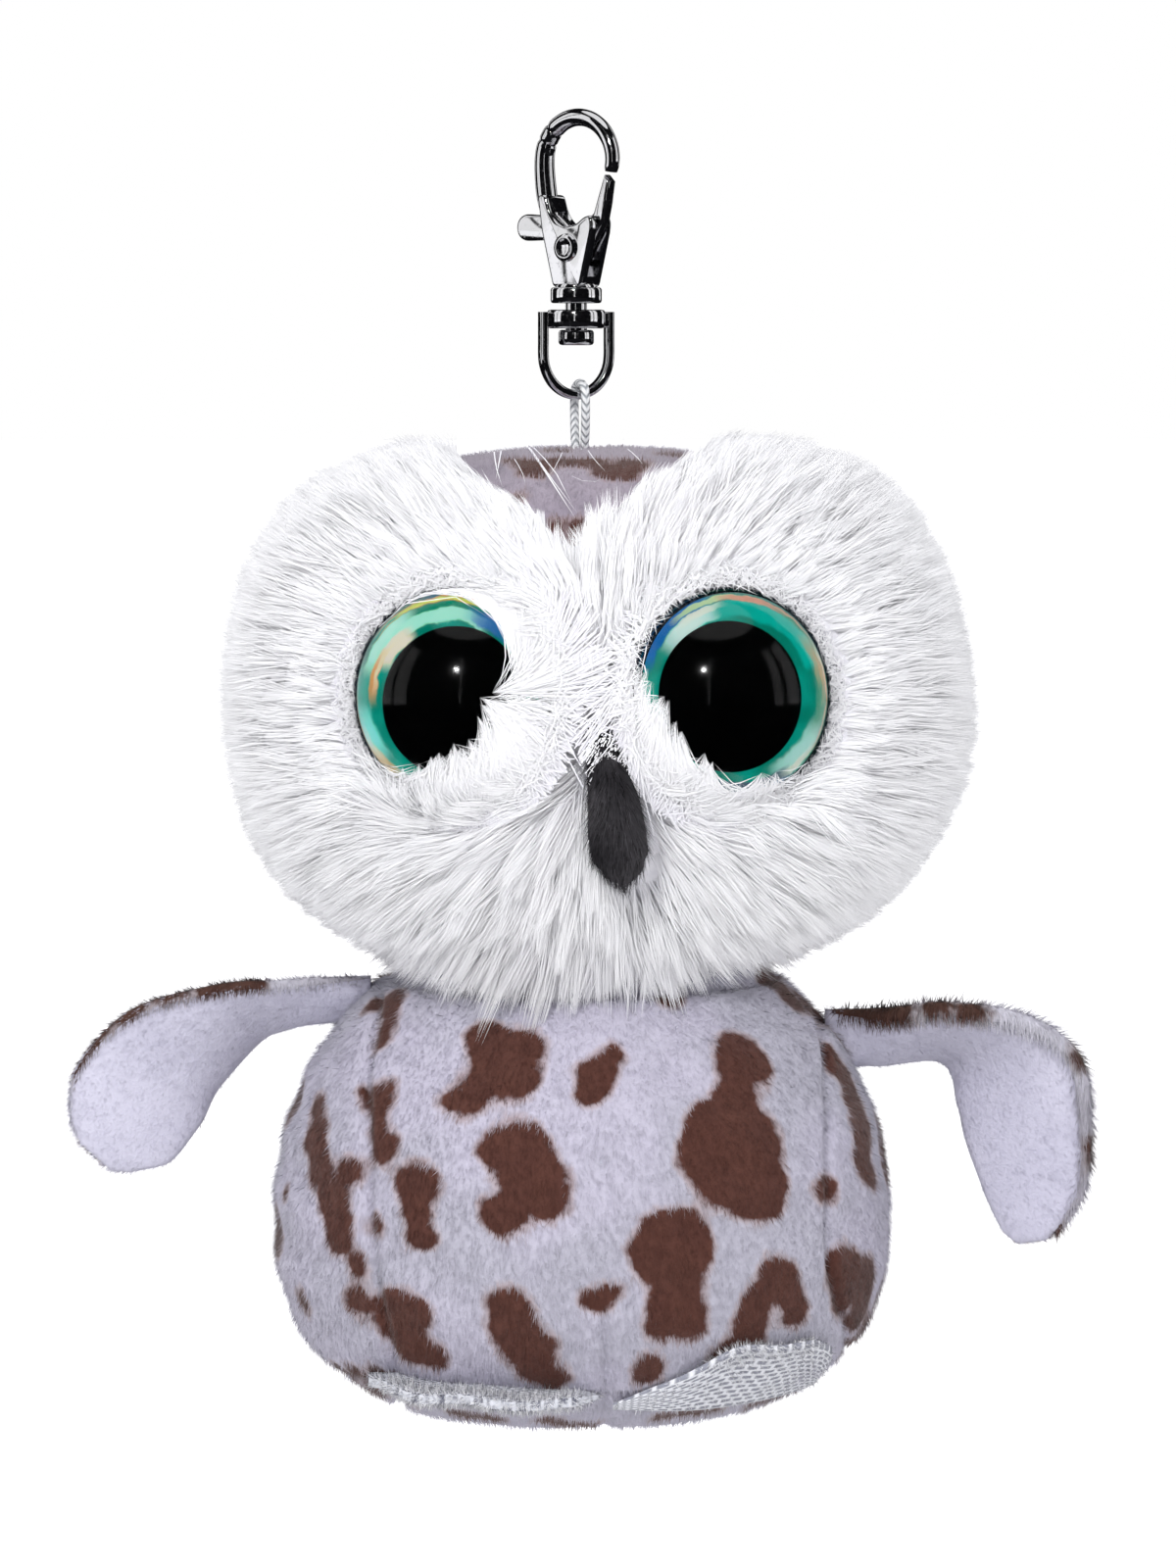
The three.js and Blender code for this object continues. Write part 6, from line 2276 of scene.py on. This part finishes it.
@dataclass
class Foot:
    """A knitted-mesh flap sewn into the base seam."""

    side: Side
    start: float
    end: float
    rise: float
    tilt: float
    finish: Finish = KNIT
    lip: float = 0.55
    taper: float = 0.3
    seam: float = 4.5
    reach: float = 8.0
    thickness: float = 1.7

    def build(self) -> None:
        """Bends the flap round the body and lays its fuzzy edge."""
        piece = Piece(f"knit_foot_{self.side.word}", "toy", self.finish)
        bm = piece.bm
        bmesh.ops.create_cube(bm, size=1.0)
        for axis, cuts in ((0, 79), (1, 19), (2, 2)):
            edges = [e for e in bm.edges if abs(e.verts[0].co[axis] - e.verts[1].co[axis]) > 0.5]
            bmesh.ops.subdivide_edges(bm, edges=edges, cuts=cuts, use_grid_fill=True)
        full = TORSO.fullness(4.5)
        layer = bm.loops.layers.uv.verify()
        tilt = math.radians(self.tilt)
        for face in bm.faces:
            for loop in face.loops:
                along, outward = loop.vert.co.x + 0.5, loop.vert.co.y + 0.5
                loop[layer].uv = (along * 26, outward * self.reach)
        for vert in bm.verts:
            along, outward, up = vert.co.x + 0.5, vert.co.y + 0.5, vert.co.z + 0.5
            angle = math.radians(self.start + (self.end - self.start) * along)
            reach = self.reach * math.sin(math.pi * (0.12 + 0.81 * along)) ** 0.6 * (1 - along**7) ** 0.5
            reach *= 1 + 0.04 * math.sin(along * 23)
            point = float(smooth(np.array(along), -0.03, self.taper))
            reach *= 0.1 + 0.9 * point
            stand = 0.15 + (reach * math.cos(tilt) - 0.15) * outward
            low = self.seam - self.thickness / 2 + self.rise * along**1.5 + outward * reach * math.sin(tilt)
            wave = 0.22 * math.sin(along * 19) * outward
            thick = self.thickness * (1 - 0.25 * outward) * (1 - self.lip * outward**6) * (0.3 + 0.7 * point)
            vert.co = (
                self.side.value * (TORSO.half_width * full + stand) * math.sin(angle),
                -(TORSO.half_depth * full + stand) * math.cos(angle),
                low + wave + (up - 0.5) * thick + self.thickness / 2,
            )
        flap = piece.make((f"foot_{self.side.word}",), TOY_PLACE)
        paint_value(flap.data, "spot", np.full(len(flap.data.vertices), -4.0))
        fuzz = ShortPile(per_mm2=36, length=0.8, width=0.1, lean=0.1, tone=0.7)
        fuzz.grow(flap, f"knit_fuzz_{self.side.word}", "toy", FUZZ, 101 + self.side.value, self.at_rim())

    def at_rim(self) -> object:
        """A test of roots that favours the flap's free edge and thins out inwards."""
        rng = np.random.default_rng(111)
        full = TORSO.fullness(4.5)

        def test(points: np.ndarray) -> np.ndarray:
            """Which roots stay."""
            local = points - np.array(TOY_PLACE.translation)
            far = np.hypot(local[:, 0] / (TORSO.half_width * full), local[:, 1] / (TORSO.half_depth * full))
            stand = (far - 1) * TORSO.half_depth * full / self.reach
            return rng.random(len(points)) < 0.1 + 0.9 * smooth(stand, 0.5, 0.75)

        return test


class InnerParts:
    """The CAD nodes that stay as they are and only get a finish."""

    finishes = {
        "head_stuffing": STUFFING, "torso_stuffing": STUFFING, "bean_fill": BEANS, "eye_washer_left": WASHER,
        "eye_washer_right": WASHER, "trigger_spring": SPRING,
    }

    def build(self) -> None:
        """Gives each its material."""
        for name, finish in self.finishes.items():
            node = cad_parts[name]
            node.data.materials.clear()
            node.data.materials.append(finish.material())
            log.info("%s keeps its shape", name)


LEFT_WING = (
    (-0.27, 0.06, 0, -0.22, 0.31), (-0.13, 0.055, 0, -0.28, 0.31), (0, 0.045, 0, -0.38, 0.33),
    (0.09, 0.03, 0.02, -0.52, 0.37),
    (0.19, 0.01, 0.07, -0.68, 0.46), (0.37, -0.1, 0.11, -0.62, 0.76), (0.55, -0.22, 0.5, -0.35, 0.84),
    (0.71, -0.4, 0.66, -0.14, 0.7), (0.8, -0.52, 0.42, -0.07, 0.4), (0.82, -0.57, 0.22, -0.04, 0.2),
)
RIGHT_WING = (
    (-0.24, 0.06, 0, -0.22, 0.42), (-0.1, 0.06, 0, -0.28, 0.4), (0, 0.06, 0, -0.4, 0.4),
    (0.08, 0.07, 0.01, -0.53, 0.41), (0.22, 0.08, 0.04, -0.72, 0.44), (0.41, 0.02, 0.5, -0.64, 0.47),
    (0.52, -0.11, 0.83, -0.42, 0.39), (0.56, -0.31, 0.85, -0.28, 0.2), (0.59, -0.54, 0.7, -0.2, 0.1),
    (0.58, -0.7, 0.4, -0.1, 0.05), (0.58, -0.75, 0.2, -0.05, 0.03),
)
# Each eye's arcs: middle radius, half width, aim, span, colour and strength. The near-white and pale mint and
# cream arcs are painted highlights and reflections on the foil; the others are the foil's own streaks.
LEFT_ARCS = (
    Arc(8.9, 0.8, 80, 60, srgb(60, 178, 150)), Arc(9.25, 0.3, 165, 62, srgb(96, 136, 126)),
    Arc(9.25, 0.28, 92, 14, srgb(22, 66, 140)), Arc(8.5, 0.24, 94, 34, srgb(222, 228, 92)),
    Arc(8.2, 0.1, 112, 36, srgb(228, 156, 84)), Arc(8.85, 0.08, 104, 40, srgb(228, 156, 84)),
    Arc(7.7, 0.5, 105, 62, srgb(0, 142, 112)), Arc(6.8, 0.6, 102, 40, srgb(176, 250, 226)),
    Arc(7.4, 0.75, 143, 22, srgb(186, 252, 232)), Arc(7.2, 0.75, 60, 15, srgb(40, 108, 190)),
    Arc(6.2, 0.7, 142, 11, srgb(255, 240, 218), 2.0), Arc(6.7, 0.4, 168, 15, srgb(244, 164, 92)),
    Arc(6.5, 0.16, 160, 14, srgb(255, 232, 200)), Arc(7.9, 0.9, 207, 15, srgb(120, 236, 226)),
    Arc(9.15, 0.2, 199, 6, srgb(246, 170, 112)), Arc(8.7, 0.55, 213, 5, srgb(232, 255, 255)),
    Arc(8.7, 0.7, 227, 8, srgb(250, 186, 116)),
)
RIGHT_ARCS = (
    Arc(8.4, 1.1, 10, 52, srgb(0, 142, 106)), Arc(7.4, 0.9, 78, 62, srgb(0, 184, 168)),
    Arc(9.3, 0.3, 70, 50, srgb(64, 138, 128)), Arc(8.9, 0.65, 134, 28, srgb(24, 108, 184)),
    Arc(8.75, 0.34, 106, 22, srgb(196, 224, 172)), Arc(8.65, 0.36, 78, 18, srgb(226, 152, 126)),
    Arc(8.85, 0.2, 52, 14, srgb(206, 158, 130)), Arc(7.4, 0.75, 124, 20, srgb(224, 252, 246)),
    Arc(7.9, 0.35, 114, 10, srgb(255, 246, 226)), Arc(7.9, 0.5, 20, 8, srgb(196, 158, 98)),
    Arc(8.2, 0.3, 10, 7, srgb(214, 160, 92)), Arc(8.75, 0.26, 12, 13, srgb(255, 232, 204)),
    Arc(8.7, 0.18, 0, 9, srgb(250, 172, 112)), Arc(7.9, 1.1, -42, 20, srgb(170, 224, 214)),
    Arc(8.5, 0.4, -48, 6, srgb(255, 240, 214)), Arc(8.8, 0.2, -24, 8, srgb(220, 172, 140)),
    Arc(8.6, 0.9, -82, 26, srgb(62, 82, 104)), Arc(9.0, 0.25, -72, 10, srgb(40, 104, 170)),
)
LEFT_SLANT = (
    (5, -0.5), (15, -0.9), (45, -0.8), (65, -0.6), (240, -0.1), (255, 0.1), (290, 0.3), (320, 0.5),
    (350, 0.4),
)
LEFT_CLEAR = (
    (8, 6.2), (28, 7.4), (45, 8.4), (58, 9.4), (68, 10.2), (180, 10.2), (230, 10.2), (238, 9.2), (245, 7.6),
    (255, 6.3), (277, 5.4), (300, 5.6), (322, 4.2), (350, 3.7), (357, 4.0),
)
RIGHT_SLANT = ((150, -0.4), (187, -0.6), (214, -0.6), (236, -0.35), (254, -0.1), (290, 0.1))
RIGHT_CLEAR = (
    (0, 10.2), (90, 10.2), (150, 10.0), (165, 9.4), (176, 8.2), (187, 6.7), (214, 6.9), (228, 7.6),
    (236, 8.2), (244, 6.9), (254, 6.8), (262, 9.4), (280, 9.6), (290, 8.8), (297, 9.0), (303, 10.2),
    (330, 10.2),
)
RIGHT_BROWN = ((0.0, 0.3, 1.4), (0.36, 0.46, 0.7), (0.58, 0.61, 0.6), (0.73, 0.77, 0.8), (0.91, 0.94, 0.6))


def main() -> None:
    """Builds the stage and every sub-assembly in order, and reports each piece."""
    logging.basicConfig(level=logging.INFO, format="%(message)s", stream=sys.stdout)
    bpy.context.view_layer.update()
    studio = Studio()
    studio.build()
    HangCord().build()
    Clasp().build()
    prints = SpotPrint()
    Torso().build(prints)
    eyes = [
        OwlEye(
            Side.LEFT, arcs=LEFT_ARCS, pupil_shift=(0.9, -0.8), tuft_count=5600,
            slant_shape=LEFT_SLANT, clear_shape=LEFT_CLEAR,
        ),
        OwlEye(
            Side.RIGHT, arcs=RIGHT_ARCS, pupil_shift=(-0.9, -0.3),
            slant_shape=RIGHT_SLANT, clear_shape=RIGHT_CLEAR,
        ),
    ]
    FurPanels(studio).build(eyes)
    for eye in eyes:
        eye.build()
    HeadPlush().build(prints)
    Beak().build()
    Wing(Side.LEFT, 38.9, LEFT_WING, ((0.4, 0.8, 1.0),), 0.5).build(prints)
    Wing(Side.RIGHT, 35.2, RIGHT_WING, RIGHT_BROWN, 0.8).build(prints)
    Foot(Side.LEFT, -4, 55, 1.2, -1, KNIT_FOLD, 0.3, 0.1, 4.7, 7.3).build()
    Foot(Side.RIGHT, 7, 71, 1.1, 43, taper=0.36, seam=3.5, reach=8.6).build()
    InnerParts().build()


if __name__ == "__main__":
    main()
